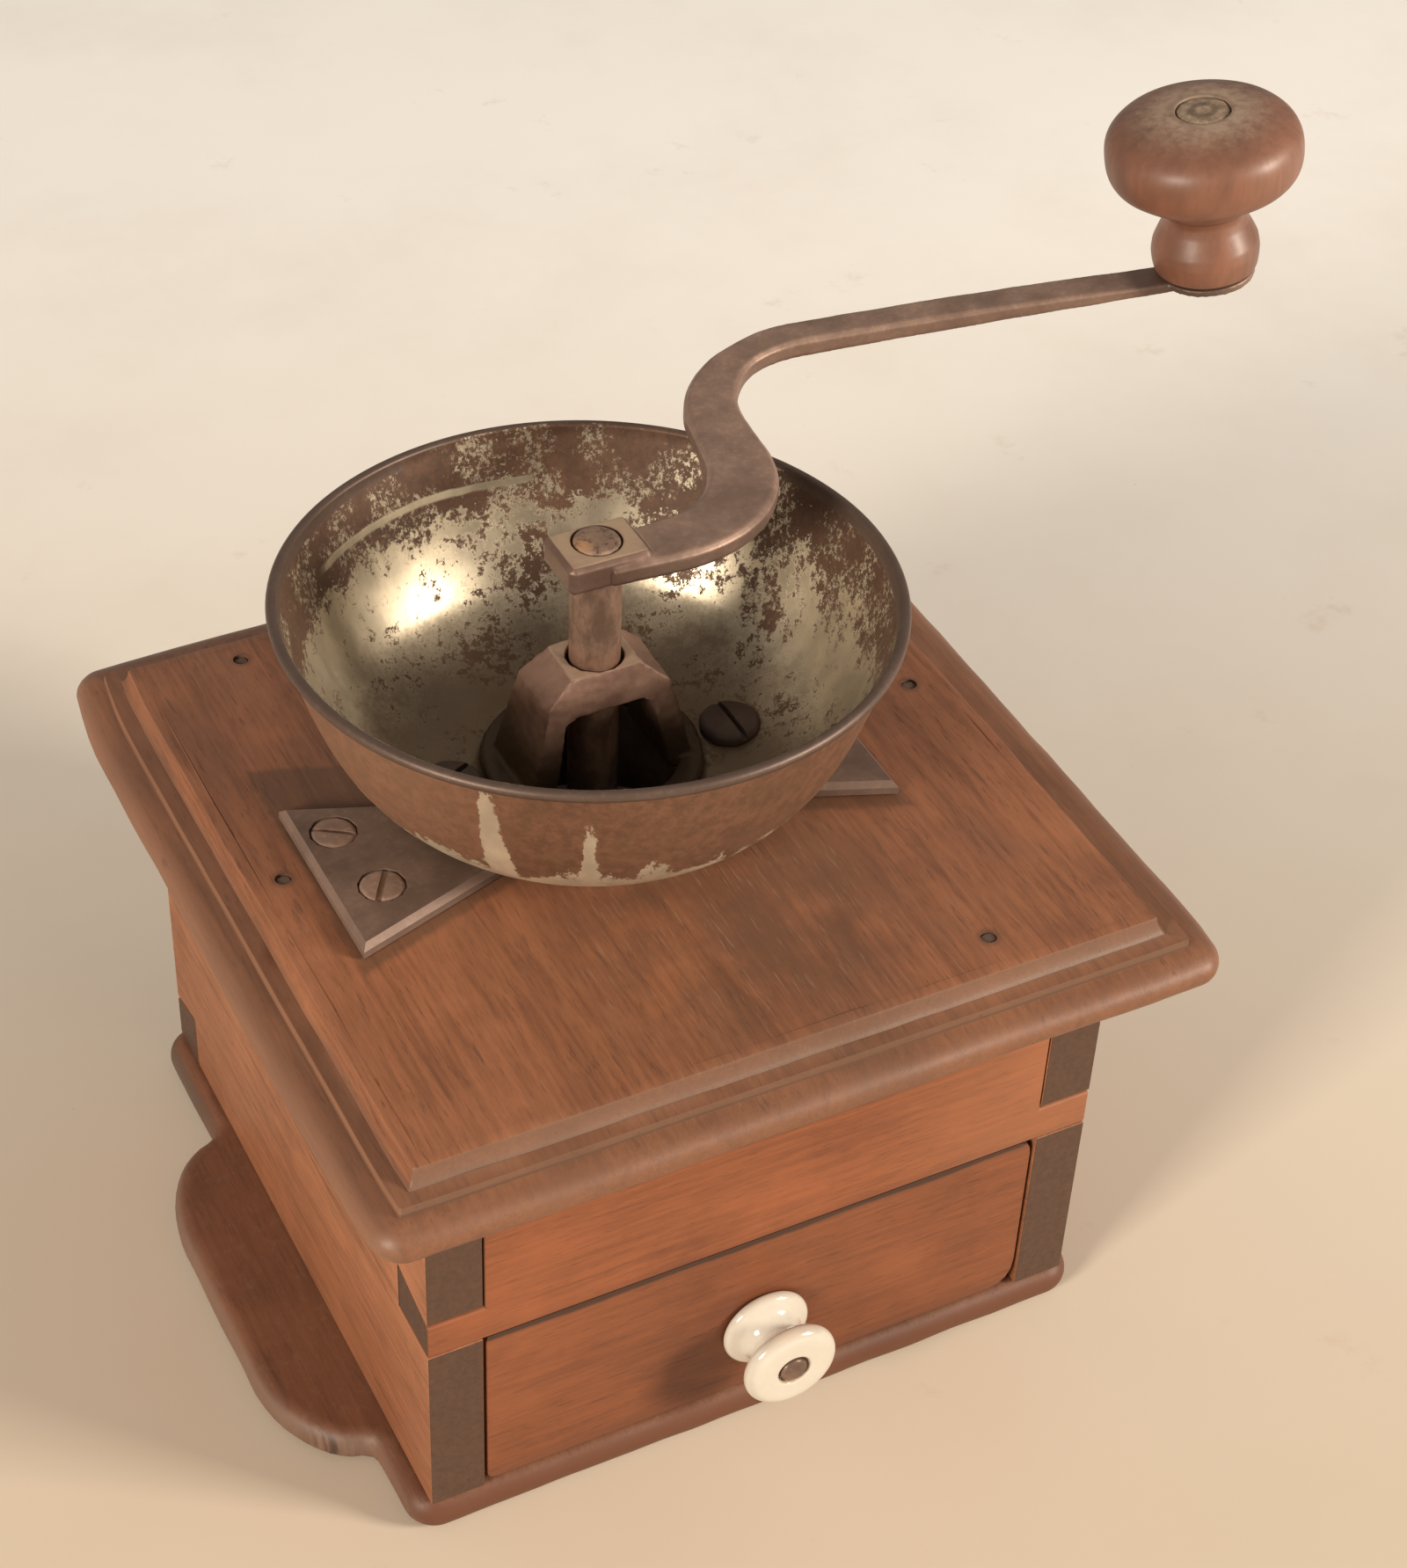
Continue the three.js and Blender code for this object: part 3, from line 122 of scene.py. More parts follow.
class GrinderColours(bpy.types.PropertyGroup):
    """Colours of the wood, iron, tin and glaze."""
    walnut: colour("Walnut", "Lid and base, main colour", (0.288, 0.113, 0.055))
    walnut_dark: colour("Walnut grain", "Dark streaks of the lid and base", (0.090, 0.034, 0.018))
    side: colour("Side board", "Case sides, main colour", (0.345, 0.138, 0.066))
    front: colour("Rail and drawer", "Orange-brown front boards", (0.222, 0.070, 0.027))
    front_dark: colour("Rail grain", "Dark pores of the front boards", (0.100, 0.032, 0.015))
    end_grain: colour("End grain", "Dusty end grain of the boards", (0.084, 0.042, 0.026))
    dust: colour("Dust", "Grey dust in the mouldings", (0.255, 0.165, 0.122))
    poplar: colour("Poplar", "Hidden drawer boards", (0.44, 0.29, 0.16))
    knob_wood: colour("Knob wood", "Turned crank knob", (0.174, 0.073, 0.043))
    iron: colour("Iron", "Brown patina of the iron pieces", (0.165, 0.105, 0.080))
    iron_dark: colour("Iron shade", "Darker patina", (0.075, 0.044, 0.032))
    rust: colour("Rust", "Orange rust spots", (0.40, 0.17, 0.055))
    tin: colour("Tin", "Bare tinned sheet", (0.66, 0.565, 0.42))
    bowl_brown: colour("Bowl brown", "Bare iron of the hopper", (0.078, 0.038, 0.022))
    grime_and_shade: colour("Grime", "Dark dirt on the hopper's floor", (0.135, 0.078, 0.036))
    # This colour also serves as painted shade low in the hopper and at the bridge's feet.
    glaze: colour("Glaze", "Porcelain of the drawer knob", (0.60, 0.55, 0.475))
    stain: colour("Stain", "Brown wear at the porcelain's edges", (0.36, 0.21, 0.11))
    floor: colour("Floor", "Pale paper floor, near", (0.61, 0.51, 0.405))
    # The far floor colour is painted light: the paper is made paler where it was lit more.
    floor_far_painted_light: colour("Far floor", "Pale paper floor, far", (0.93, 0.90, 0.87))


class GrinderStage(bpy.types.PropertyGroup):
    """Camera and lights."""
    lens: plain("Lens", "Focal length in millimetres on a 36 mm sensor", 80.115)
    left_power: plain("Left lamp", "Power of the lamp on the left, in watts", 36.0)
    right_power: plain("Right lamp", "Power of the lamp on the right, in watts", 42.0)
    world_power: plain("Room light", "Strength of the room's even light", 0.38)


def settings():
    """The three property groups of the scene."""
    scene = bpy.context.scene
    return scene.grinder_sizes, scene.grinder_colours, scene.grinder_stage


def times(values, factor):
    """A colour, or any other row of numbers, with each value multiplied."""
    return tuple(value * factor for value in values)


# Shader expressions

class Wire:
    """An output socket that adds Math nodes when it is used in an expression."""

    def __init__(self, look, socket):
        self.look = look
        self.socket = socket

    def _math(self, operation, first, second):
        return self.look.node("ShaderNodeMath", {"operation": operation}, {0: first, 1: second})

    def __add__(self, other):
        return self._math("ADD", self, other)

    def __radd__(self, other):
        return self._math("ADD", other, self)

    def __sub__(self, other):
        return self._math("SUBTRACT", self, other)

    def __rsub__(self, other):
        return self._math("SUBTRACT", other, self)

    def __mul__(self, other):
        return self._math("MULTIPLY", self, other)

    def __truediv__(self, other):
        return self._math("DIVIDE", self, other)

    def __abs__(self):
        return self._math("ABSOLUTE", self, 0.0)


class Look:
    """A material, the colour that it builds up and the expressions that feed its surface shader."""

    def __init__(self, name, tone, **constants):
        self.material = bpy.data.materials.new(name)
        self.material.use_nodes = True
        self.tree = self.material.node_tree
        self.shader = self.tree.nodes["Principled BSDF"]
        self.tone = tone
        for key, value in constants.items():
            self.shader.inputs[key.replace("_", " ")].default_value = value

    def node(self, kind, settings=None, inputs=None, output=0):
        """Adds a node: its settings first, then the values or links of its sockets."""
        made = self.tree.nodes.new(kind)
        for key, value in (settings or {}).items():
            setattr(made, key, value)
        for key, value in (inputs or {}).items():
            self.plug(made.inputs[key], value)
        return Wire(self, made.outputs[output])

    def plug(self, socket, value):
        """Links a wire to a socket, or sets its value."""
        if isinstance(value, Wire):
            self.tree.links.new(value.socket, socket)
        elif hasattr(value, "__len__") and len(socket.default_value) == 4 and len(value) == 3:
            socket.default_value = (*value, 1.0)
        else:
            socket.default_value = value

    def place(self, scale=(1.0, 1.0, 1.0), shift=(0.0, 0.0, 0.0)):
        """The point on the object in millimetres, scaled and shifted."""
        point = self.node("ShaderNodeTexCoord", output=3)
        return self.node("ShaderNodeVectorMath", {"operation": "MULTIPLY_ADD"},
                         {0: point, 1: tuple(value / MM for value in scale), 2: shift})

    def axis(self, vector, name):
        """One axis of a vector, named X, Y or Z."""
        return self.node("ShaderNodeSeparateXYZ", None, {0: vector}, output="XYZ".index(name))

    def at(self, name):
        """Where a point is along an axis, in millimetres."""
        return self.axis(self.place(), name)

    def facing(self, name):
        """How far the surface faces along an axis, from -1 to 1."""
        return self.axis(self.node("ShaderNodeNewGeometry", output=1), name)

    def noise(self, waves, shift=(0.0, 0.0, 0.0), detail=3.0, roughness=0.55, fine=1.0, twist=0.0):
        """Soft noise from 0 to 1, with its waves for each millimetre, the same or one for each axis."""
        if isinstance(waves, float):
            waves = (waves, waves, waves)
        return self.node("ShaderNodeTexNoise", None, {
            "Vector": self.place(waves, shift), "Scale": fine, "Detail": detail, "Roughness": roughness,
            "Distortion": twist})

    def smooth(self, value, low, high):
        """0 under low, 1 over high, and a soft step between."""
        return self.node("ShaderNodeMapRange", {"interpolation_type": "SMOOTHSTEP"},
                         {"Value": value, "From Min": low, "From Max": high})

    def fall(self, value, low, high):
        """1 under low, 0 over high, and a soft step between."""
        return 1 - self.smooth(value, low, high)

    def belt(self, value, rise, drop):
        """1 between a soft step up and a soft step down."""
        return self.smooth(value, *rise) * self.fall(value, *drop)

    def mix(self, share, first, second):
        """A colour between two."""
        return self.node("ShaderNodeMix", {"data_type": "RGBA"}, {0: share, 6: first, 7: second}, output=2)

    def lay(self, share, shade):
        """Lays a colour over what is there."""
        self.tone = self.mix(share, self.tone, shade)

    def near(self, centre, low, high):
        """1 near a point given in millimetres, falling to 0 between two distances."""
        gap = self.node("ShaderNodeVectorMath", {"operation": "DISTANCE"},
                        {0: self.place(), 1: centre}, output=1)
        return self.fall(gap, low, high)

    def bump(self, height, distance, strength=1.0):
        """Feeds the shader's normal from a height."""
        self.set("Normal", self.node("ShaderNodeBump", None, {
            "Strength": strength, "Distance": distance * MM, "Height": height}))

    def set(self, name, value):
        """Feeds one socket of the shader."""
        self.plug(self.shader.inputs[name], value)

    def finish(self, **sockets):
        """Feeds the colour and the sockets named, and hands over the material."""
        self.set("Base Color", self.tone)
        for name, value in sockets.items():
            self.set(name, value)
        return self.material


# Mesh tools, all in millimetres

def make_object(name, points, faces):
    """A smooth-shaded object from points in millimetres."""
    mesh = bpy.data.meshes.new(name)
    mesh.from_pydata([Vector(point) * MM for point in points], [], faces)
    mesh.validate()
    made = bpy.data.objects.new(name, mesh)
    bpy.context.scene.collection.objects.link(made)
    clean = bmesh.new()
    clean.from_mesh(mesh)
    bmesh.ops.remove_doubles(clean, verts=clean.verts, dist=SAME_POINT * MM)
    bmesh.ops.recalc_face_normals(clean, faces=clean.faces)
    clean.to_mesh(mesh)
    clean.free()
    mesh.shade_smooth()
    return made


def circle(count):
    """The angles of evenly spread points round a circle."""
    return [math.tau * k / count for k in range(count)]


def ring_faces(rows, count, closed_ends=True, closed_loop=False):
    """Faces between rings of equal count, with flat ends or with the last ring joined to the first."""
    faces = []
    for row in range(rows if closed_loop else rows - 1):
        low, high = row * count, (row + 1) % rows * count
        for k in range(count):
            after = (k + 1) % count
            faces.append((low + k, low + after, high + after, high + k))
    if closed_ends:
        faces.append(tuple(range(count - 1, -1, -1)))
        faces.append(tuple(range((rows - 1) * count, rows * count)))
    return faces


def lathe(name, profile, steps=96, centre=(0.0, 0.0, 0.0)):
    """A turned object from a closed loop, or an open line that starts and ends on the axis."""
    points = [(centre[0] + radius * math.cos(angle), centre[1] + radius * math.sin(angle), centre[2] + height)
              for radius, height in profile for angle in circle(steps)]
    on_axis = profile[0][0] < SAME_POINT
    return make_object(name, points, ring_faces(len(profile), steps, False, not on_axis))


def cylinder(name, centre, radius, height, steps=48):
    """An upright closed cylinder."""
    half = height / 2
    return lathe(name, [(0.0, -half), (radius, -half), (radius, half), (0.0, half)], steps, centre)


def box(name, low, high):
    """A closed box between two corners."""
    points = [(x, y, z) for x in (low[0], high[0]) for y in (low[1], high[1]) for z in (low[2], high[2])]
    faces = [(0, 1, 3, 2), (4, 6, 7, 5), (0, 4, 5, 1), (2, 3, 7, 6), (0, 2, 6, 4), (1, 5, 7, 3)]
    return make_object(name, points, faces)


def bent(start, bend, end, share):
    """A point on the soft curve from start to end that bend pulls aside."""
    return start * (1 - share) ** 2 + bend * 2 * share * (1 - share) + end * share ** 2


def soften(line, radius, steps=4, reach_share=0.45):
    """Rounds the inner corners of a line of [x, y] points."""
    result = [line[0]]
    for before, here, after in zip(line, line[1:], line[2:]):
        here = Vector(here)
        back = Vector(before) - here
        on = Vector(after) - here
        reach = min(radius, back.length * reach_share, on.length * reach_share)
        start = here + back.normalized() * reach
        end = here + on.normalized() * reach
        result += [bent(start, here, end, k / steps).to_tuple() for k in range(steps + 1)]
    result.append(line[-1])
    return result


def settle(made):
    """Applies every modifier of an object to its mesh."""
    depsgraph = bpy.context.evaluated_depsgraph_get()
    mesh = bpy.data.meshes.new_from_object(made.evaluated_get(depsgraph))
    old = made.data
    made.modifiers.clear()
    made.data = mesh
    bpy.data.meshes.remove(old)


def combine(made, others, operation):
    """Joins or cuts an object with others, which are used up."""
    for other in others:
        step = made.modifiers.new("step", "BOOLEAN")
        step.operation = operation
        step.solver = "EXACT"
        step.object = other
        settle(made)
        bpy.data.objects.remove(other)


def cast(made, voxel, rounds):
    """Turns a hard-edged object into a softly edged one."""
    grain = made.modifiers.new("grain", "REMESH")
    grain.mode = "VOXEL"
    grain.voxel_size = voxel
    grain.use_smooth_shade = True
    ease = made.modifiers.new("ease", "SMOOTH")
    ease.factor = 0.5
    ease.iterations = rounds
    settle(made)
    made.data.shade_smooth()


def worn(made, depth, size, shift=0.0):
    """Moves the points in and out by soft noise: depth and size in millimetres."""
    mesh = made.data
    for vertex, direction in zip(mesh.vertices, [vertex.normal.copy() for vertex in mesh.vertices]):
        place = vertex.co / (size * MM) + Vector((shift, shift, shift))
        vertex.co += direction * noise.noise(place) * depth * MM


def crisp(made, degrees):
    """Smooth shading, but sharp at edges past an angle."""
    made.data.shade_smooth()
    made.data.set_sharp_from_angle(angle=math.radians(degrees))


def bevel(made, width, degrees=30, steps=2, hard=False):
    """Softens the edges with a modifier that stays on the object."""
    soft = made.modifiers.new("edge", "BEVEL")
    soft.width = width
    soft.segments = steps
    soft.limit_method = "ANGLE"
    soft.angle_limit = math.radians(degrees)
    soft.harden_normals = hard


def dress(nodes, finish, edge=None, degrees=32):
    """Gives CAD nodes their finish and, where asked, smooth shading and soft edges."""
    for node in nodes:
        made = frame["nodes"][node]
        made.data.materials.clear()
        made.data.materials.append(finish)
        if edge:
            weld = made.modifiers.new("weld", "WELD")
            weld.merge_threshold = THIN * MM
            join = made.modifiers.new("flat_join", "DECIMATE")
            join.decimate_type = "DISSOLVE"
            join.angle_limit = math.radians(0.5)
            made.data.shade_smooth()
            bevel(made, edge, degrees, steps=3, hard=True)
            flat = made.modifiers.new("flat_faces", "WEIGHTED_NORMAL")
            flat.weight = 100


def numbered(name, count):
    """The names of a row of like nodes."""
    return [f"{name}_{k}" for k in range(1, count + 1)]


def put(made, finish, body, slot, *nodes):
    """Gives a new piece its finish and its body, and hides the nodes that it stands for; the slot is not
    used.
    """
    made.data.materials.clear()
    made.data.materials.append(finish)
    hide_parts(*nodes)
    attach(made, body)


# Finishes

PALE_LEFT_BROWN = (0.40, 0.22, 0.13)
PALE_GLAZE = (0.66, 0.61, 0.54)
CROWN_ASH = (0.40, 0.285, 0.205)
PIN_RING = (0.13, 0.085, 0.057)


def stretched(along, slow, quick=0.16):
    """Waves for each millimetre, with long ones along one axis."""
    return tuple(slow if name == along else quick for name in "XYZ")


def grain_field(look, along, fine=1.0):
    """Wood figure that runs along an axis: broad bands, their waves and fine pores."""
    stretch = stretched(along, 0.012)
    bend = look.noise(times(stretch, 0.35), detail=2.0)
    bands = look.noise(stretch, detail=5.0, roughness=0.6, fine=fine, twist=0.6)
    wave = look.node("ShaderNodeMath", {"operation": "SINE"}, {0: (bands + bend * 1.6) * 26.0})
    pores = look.noise(times(stretch, 14.0), roughness=0.7, fine=fine)
    return bands, wave, pores


def wood(name, light, dark, along, end_colour=None, roughness=0.5, grey=0.0, extra=None):
    """Oiled old wood with streaks, pores, end grain and handling marks."""
    look = Look(name, light, Specular_IOR_Level=0.4)
    bands, wave, pores = grain_field(look, along)
    streak = look.smooth(bands * 0.7 + wave * 0.09, 0.30, 0.56)
    pore = look.smooth(pores, 0.56, 0.70)
    fibres = look.noise(times(stretched(along, 0.010), 6.0), (7.0, 3.0, 5.0), 5.0, 0.7)
    look.lay(streak * 0.30 + look.smooth(fibres, 0.36, 0.66) * 0.38, dark)
    look.lay(pore * 0.55, times(dark, 0.7))
    cloud = look.noise(0.03, detail=4.0, roughness=0.6)
    look.lay(look.smooth(cloud, 0.45, 0.75) * 0.40, times(light, 1.45))
    blot = look.noise(0.055, (3.0, 1.0, 2.0), 6.0, 0.65)
    look.lay(look.smooth(blot, 0.52, 0.72) * 0.28, dark)
    if end_colour is not None:
        fibre = look.noise(0.9, roughness=0.7)
        end = look.mix(look.smooth(fibre, 0.35, 0.65) * 0.5, end_colour, times(end_colour, 0.6))
        look.lay(look.smooth(abs(look.facing(along)), 0.55, 0.8), end)
    if grey:
        speck = look.noise(0.4, (5.0, 2.0, 7.0), 5.0, 0.7)
        look.lay(look.smooth(speck, 0.5, 0.8) * grey, settings()[1].dust)
    if extra:
        extra(look)
    look.bump(pores * -0.5 + bands * 0.5, distance=0.10, strength=0.55)
    return look.finish(Roughness=roughness + pore * 0.12 + look.smooth(blot, 0.45, 0.8) * 0.10)


def iron(name, rusty=0.1, pale=0.35, roughness=0.42, metallic=0.45, gain=1.0, patches=1.0, edges=0.0,
         extra=None):
    """Iron with a brown patina, lighter rubbed places, a few rust specks and, where asked, a painted
    highlight on its sloping faces.
    """
    colours = settings()[1]
    main = times(colours.iron, gain)
    light = times(main, 1.6)
    shade = [dark * patches + value * (1 - patches) for dark, value in zip(colours.iron_dark, main)]
    look = Look(name, shade, Specular_IOR_Level=0.5)
    broad = look.noise(0.09, detail=5.0, roughness=0.62)
    small = look.noise(0.9, detail=5.0, roughness=0.7)
    look.lay(look.smooth(broad, 0.32, 0.62), main)
    look.lay(look.smooth(small + broad * 0.6, 0.78, 1.02) * pale, light)
    if edges:
        # Painted highlight: faces that slope away from the top are made lighter, as if they caught the lamps.
        look.lay(look.fall(look.facing("Z"), 0.80, 0.97) * edges, light)
    spot = look.noise(0.28, (9.0, 4.0, 1.0), 6.0, 0.75)
    look.lay(look.smooth(spot, 0.66, 0.74) * rusty, colours.rust)
    if extra:
        extra(look)
    look.bump(small * 0.6 + broad * 0.6, distance=0.10, strength=0.5)
    return look.finish(Metallic=metallic - look.smooth(spot, 0.6, 0.72) * 0.2,
                       Roughness=roughness + small * 0.20)


def bowl_finish(name, inside):
    """Worn tin over brown iron: clean patches low in the bowl, bare brown iron near the rim."""
    colours = settings()[1]
    look = Look(name, times(colours.tin, 0.72), Specular_IOR_Level=0.5)
    x, y = look.at("X") - BOWL.x, look.at("Y") - BOWL.y
    rise = (look.at("Z") - BOWL_FOOT) / (BOWL_TOP - BOWL_FOOT)
    broad = look.noise(0.062, (0.0, 3.0, 1.0), roughness=0.5)
    fleck = look.noise((0.42, 0.42, 0.36), detail=9.0, roughness=0.80)
    dots = look.noise(1.7, detail=5.0, roughness=0.75)
    smear = look.noise((0.16, 0.16, 0.05), (4.0, 4.0, 0.0), 5.0, 0.6)
    # The inside takes a darker copy of the same bare iron as the outside: painted shade inside the bowl.
    bare = times(colours.bowl_brown, 1.0 if inside else 1.7)
    brown = look.mix(look.smooth(fleck, 0.38, 0.62), bare, times(bare, 1.55))
    dull = (bare[0] * 0.85, bare[1] * 0.95, bare[2] * 0.85)
    brown = look.mix(look.smooth(smear, 0.45, 0.75) * 0.4, brown, dull)
    look.lay(look.smooth(smear, 0.35, 0.7), colours.tin)
    if inside:
        rear = look.smooth(y, 6, 34) * look.smooth(rise, 0.52, 0.74)
        cover = look.smooth(rise, 0.46, 0.98) * 0.25 + (broad - 0.5) * 0.55 + fleck + dots * 0.34
        specks = look.noise((1.05, 1.05, 0.85), (5.0, 9.0, 2.0), 7.0, 0.82)
        cluster = look.smooth(look.noise(0.10, (8.0, 1.0, 4.0)), 0.40, 0.58)
        islands = look.smooth(specks + cluster * 0.10, 0.60, 0.66) * cluster * 0.85
        # A thin line of clean tin runs round the far wall, above the heap of beans.
        arc = look.fall(abs(rise - 0.75 - (broad - 0.5) * 0.06), 0.010, 0.024)
        line = arc * look.smooth(y, 33, 39) * look.fall(abs(x + 12.0), 20.0, 24.0)
        rust = look.smooth(cover + rear * 0.085, 0.715, 0.76) * (1 - islands) * (1 - line * 0.95)
        # The floor and lower wall are darkened: grime on the floor, and painted shade higher up, where the
        # rim keeps the low lamps out.
        grime_and_shade = look.fall(rise + (fleck - 0.5) * 0.5 + (broad - 0.5) * 0.4, 0.03, 0.34)
        look.lay(rust, brown)
        look.lay(grime_and_shade * 0.87, colours.grime_and_shade)
        metallic = (1 - rust * 0.65) * (1 - grime_and_shade * 0.75) * 0.80
    else:
        # Tin is left in a ragged band at the foot, and in two runs in front.
        drip = look.noise((0.16, 0.16, 0.012), (2.0, 0.0, 0.0), 5.0, 0.7)
        around = look.node("ShaderNodeMath", {"operation": "ARCTAN2"}, {0: y, 1: x}) + (fleck - 0.5) * 0.07
        reach = 0.28 + (drip - 0.5) * 0.70
        for degrees, tall, wide in ((-134.5, 0.66, 0.064), (-115, 0.36, 0.046)):
            reach = reach + look.fall(abs(around - math.radians(degrees)), 0.010, wide) * tall
        rust = look.smooth(rise - reach + (fleck - 0.5) * 0.30 + (dots - 0.5) * 0.12, -0.02, 0.03)
        # The bare iron is paler on the bowl's left side.
        look.lay(rust, look.mix(look.fall(x, -46, -26) * 0.22, brown, PALE_LEFT_BROWN))
        metallic = (1 - rust * 0.30) * 0.42
    look.bump(fleck * -0.5 + broad * 1.2 - rust * 0.25, distance=0.10, strength=0.5)
    return look.finish(Metallic=metallic, Roughness=0.33 + rust * 0.20 + smear * 0.10)


def glaze_finish():
    """Cream porcelain with a brown wear line at its edges."""
    colours = settings()[1]
    look = Look("porcelain_glaze", colours.glaze, Coat_Weight=0.5, Coat_Roughness=0.05, Roughness=0.16)
    haze = look.noise(0.25, detail=4.0, roughness=0.6)
    chip = look.noise(0.9, (3.0, 3.0, 3.0), 5.0, 0.75)
    knob = middle("drawer_knob")
    end = corners("drawer_knob")[0].y
    flat = look.node("ShaderNodeVectorMath", {"operation": "MULTIPLY"}, {0: look.place(), 1: (1.0, 0.0, 1.0)})
    radius = look.node("ShaderNodeVectorMath", {"operation": "DISTANCE"},
                       {0: flat, 1: (knob.x, 0.0, knob.z)}, output=1)
    rim = look.fall(abs(radius - 2.9), 0.15, 0.55) * look.fall(look.at("Y"), end + 0.5, end + 2.5)
    look.lay(look.smooth(haze, 0.4, 0.7) * 0.35, PALE_GLAZE)
    look.lay(rim * look.smooth(chip, 0.30, 0.45) * 0.8, colours.stain)
    upper = look.smooth(look.at("Z"), knob.z + 5.5, knob.z + 9.0)
    look.lay(upper * look.smooth(radius, 7.4, 8.8) * 0.35, colours.stain)
    look.bump(haze, distance=0.15, strength=0.3)
    return look.finish()


def knob_finish():
    """Turned wood, polished by hands, with a paler crown and a dark ring round its pin."""
    main = settings()[1].knob_wood
    look = Look("turned_knob_wood", times(main, 1.25), Specular_IOR_Level=0.5, Coat_Weight=0.14,
                Coat_Roughness=0.34)
    pores = grain_field(look, "Z", fine=1.6)[2]
    bands = look.noise((0.06, 0.06, 0.035), twist=0.3)
    look.lay(look.smooth(bands, 0.35, 0.65), times(main, 0.75))
    grain = look.noise((0.55, 0.55, 0.10), (1.0, 5.0, 2.0), 6.0, 0.7)
    look.lay(look.smooth(grain, 0.40, 0.68) * 0.35, times(main, 0.6))
    look.lay(look.smooth(pores, 0.55, 0.75) * 0.16, times(main, 0.5))
    pin = middle("knob_pin")
    centre = (pin.x - 2.4, pin.y + 1.2, corners("crank_knob")[1].z)
    ash = look.noise(0.5, detail=4.0, roughness=0.7)
    crown = look.near(centre, 6.0, 17.5)
    look.lay(crown * look.smooth(ash + crown * 0.25, 0.30, 0.95) * 0.85, CROWN_ASH)
    look.lay(look.near(centre, 5.2, 6.6) * (0.20 + ash * 0.5), PIN_RING)
    look.bump(pores * -0.3 + bands * 0.4, distance=0.06, strength=0.4)
    return look.finish(Roughness=0.40 + crown * 0.14 + grain * 0.16)


# Pieces

class GRINDER_OT_stage(bpy.types.Operator):
    """Sets up the camera, the pale floor and two soft lamps"""
    bl_idname = "grinder.stage"
    bl_label = "Stage"
    stand = (-190.1, -378.75, 463.5)
    forward = (0.366, 0.6671, -0.6489)
    right = (0.8912, -0.452, 0.038)
    lamps = (("lamp_left", (-1.63, -0.73, 0.77)), ("lamp_right", (1.31, -1.22, 0.77)))
    lamp_size = 0.45
    lamp_colour = (1.0, 0.90, 0.76)
    lamp_aim = (0.0, 0.0, 0.10)
    room_colour = (1.0, 0.93, 0.83, 1.0)
    paper_reach = 4000.0
    paper_cloud = (0.52, 0.40, 0.28)
    paper_fleck = (0.45, 0.27, 0.15)
    paper_grit = (0.30, 0.20, 0.12)

    def execute(self, context):
        stage = settings()[2]
        scene = context.scene
        scene.view_settings.view_transform = "Standard"
        lens = bpy.data.cameras.new("photo_camera")
        lens.sensor_fit = "HORIZONTAL"
        lens.sensor_width = 36.0
        lens.lens = stage.lens
        camera = bpy.data.objects.new("photo_camera", lens)
        scene.collection.objects.link(camera)
        forward = Vector(self.forward).normalized()
        up = Vector(self.right).normalized().cross(forward).normalized()
        turn = Matrix((forward.cross(up), up, -forward)).transposed().to_4x4()
        camera.matrix_world = Matrix.Translation(Vector(self.stand) * MM) @ turn
        scene.camera = camera
        for (name, place), power in zip(self.lamps, (stage.left_power, stage.right_power)):
            self.lamp(context, name, place, power)
        self.floor()
        world = bpy.data.worlds.new("room")
        world.use_nodes = True
        background = world.node_tree.nodes["Background"]
        background.inputs["Color"].default_value = self.room_colour
        background.inputs["Strength"].default_value = stage.world_power
        scene.world = world
        return {"FINISHED"}

    def lamp(self, context, name, place, power):
        """One soft square lamp that looks at the mill."""
        light = bpy.data.lights.new(name, "AREA")
        light.shape = "SQUARE"
        light.size = self.lamp_size
        light.energy = power
        light.color = self.lamp_colour
        made = bpy.data.objects.new(name, light)
        made.location = place
        made.rotation_euler = (Vector(self.lamp_aim) - Vector(place)).to_track_quat("-Z", "Y").to_euler()
        context.scene.collection.objects.link(made)

    def floor(self):
        """A large sheet of pale paper, with painted light that makes it paler towards the back."""
        reach = self.paper_reach
        made = make_object("paper_floor", [(-reach, -reach, 0), (reach, -reach, 0), (reach, reach, 0),
                                           (-reach, reach, 0)], [(0, 1, 2, 3)])
        colours = settings()[1]
        look = Look("paper", colours.floor, Specular_IOR_Level=0.2, Roughness=0.85)
        # Painted light: the paper grows paler towards the back, as if lit more there.
        look.lay(look.smooth(look.at("Y") * 0.88 + look.at("X") * 0.48, -120.0, 460.0), colours.floor_far_painted_light)
        cloud = look.noise(0.011, (3.0, 7.0, 0.0), 5.0, 0.65)
        look.lay(look.smooth(cloud, 0.40, 0.75) * 0.12, self.paper_cloud)
        fleck = look.noise(0.035, detail=6.0, roughness=0.7)
        look.lay(look.smooth(fleck, 0.62, 0.72) * 0.16, self.paper_fleck)
        grit = look.noise(0.16, (1.0, 4.0, 0.0), 4.0, 0.7)
        look.lay(look.smooth(grit, 0.72, 0.77) * 0.30, self.paper_grit)
        made.data.materials.append(look.finish())


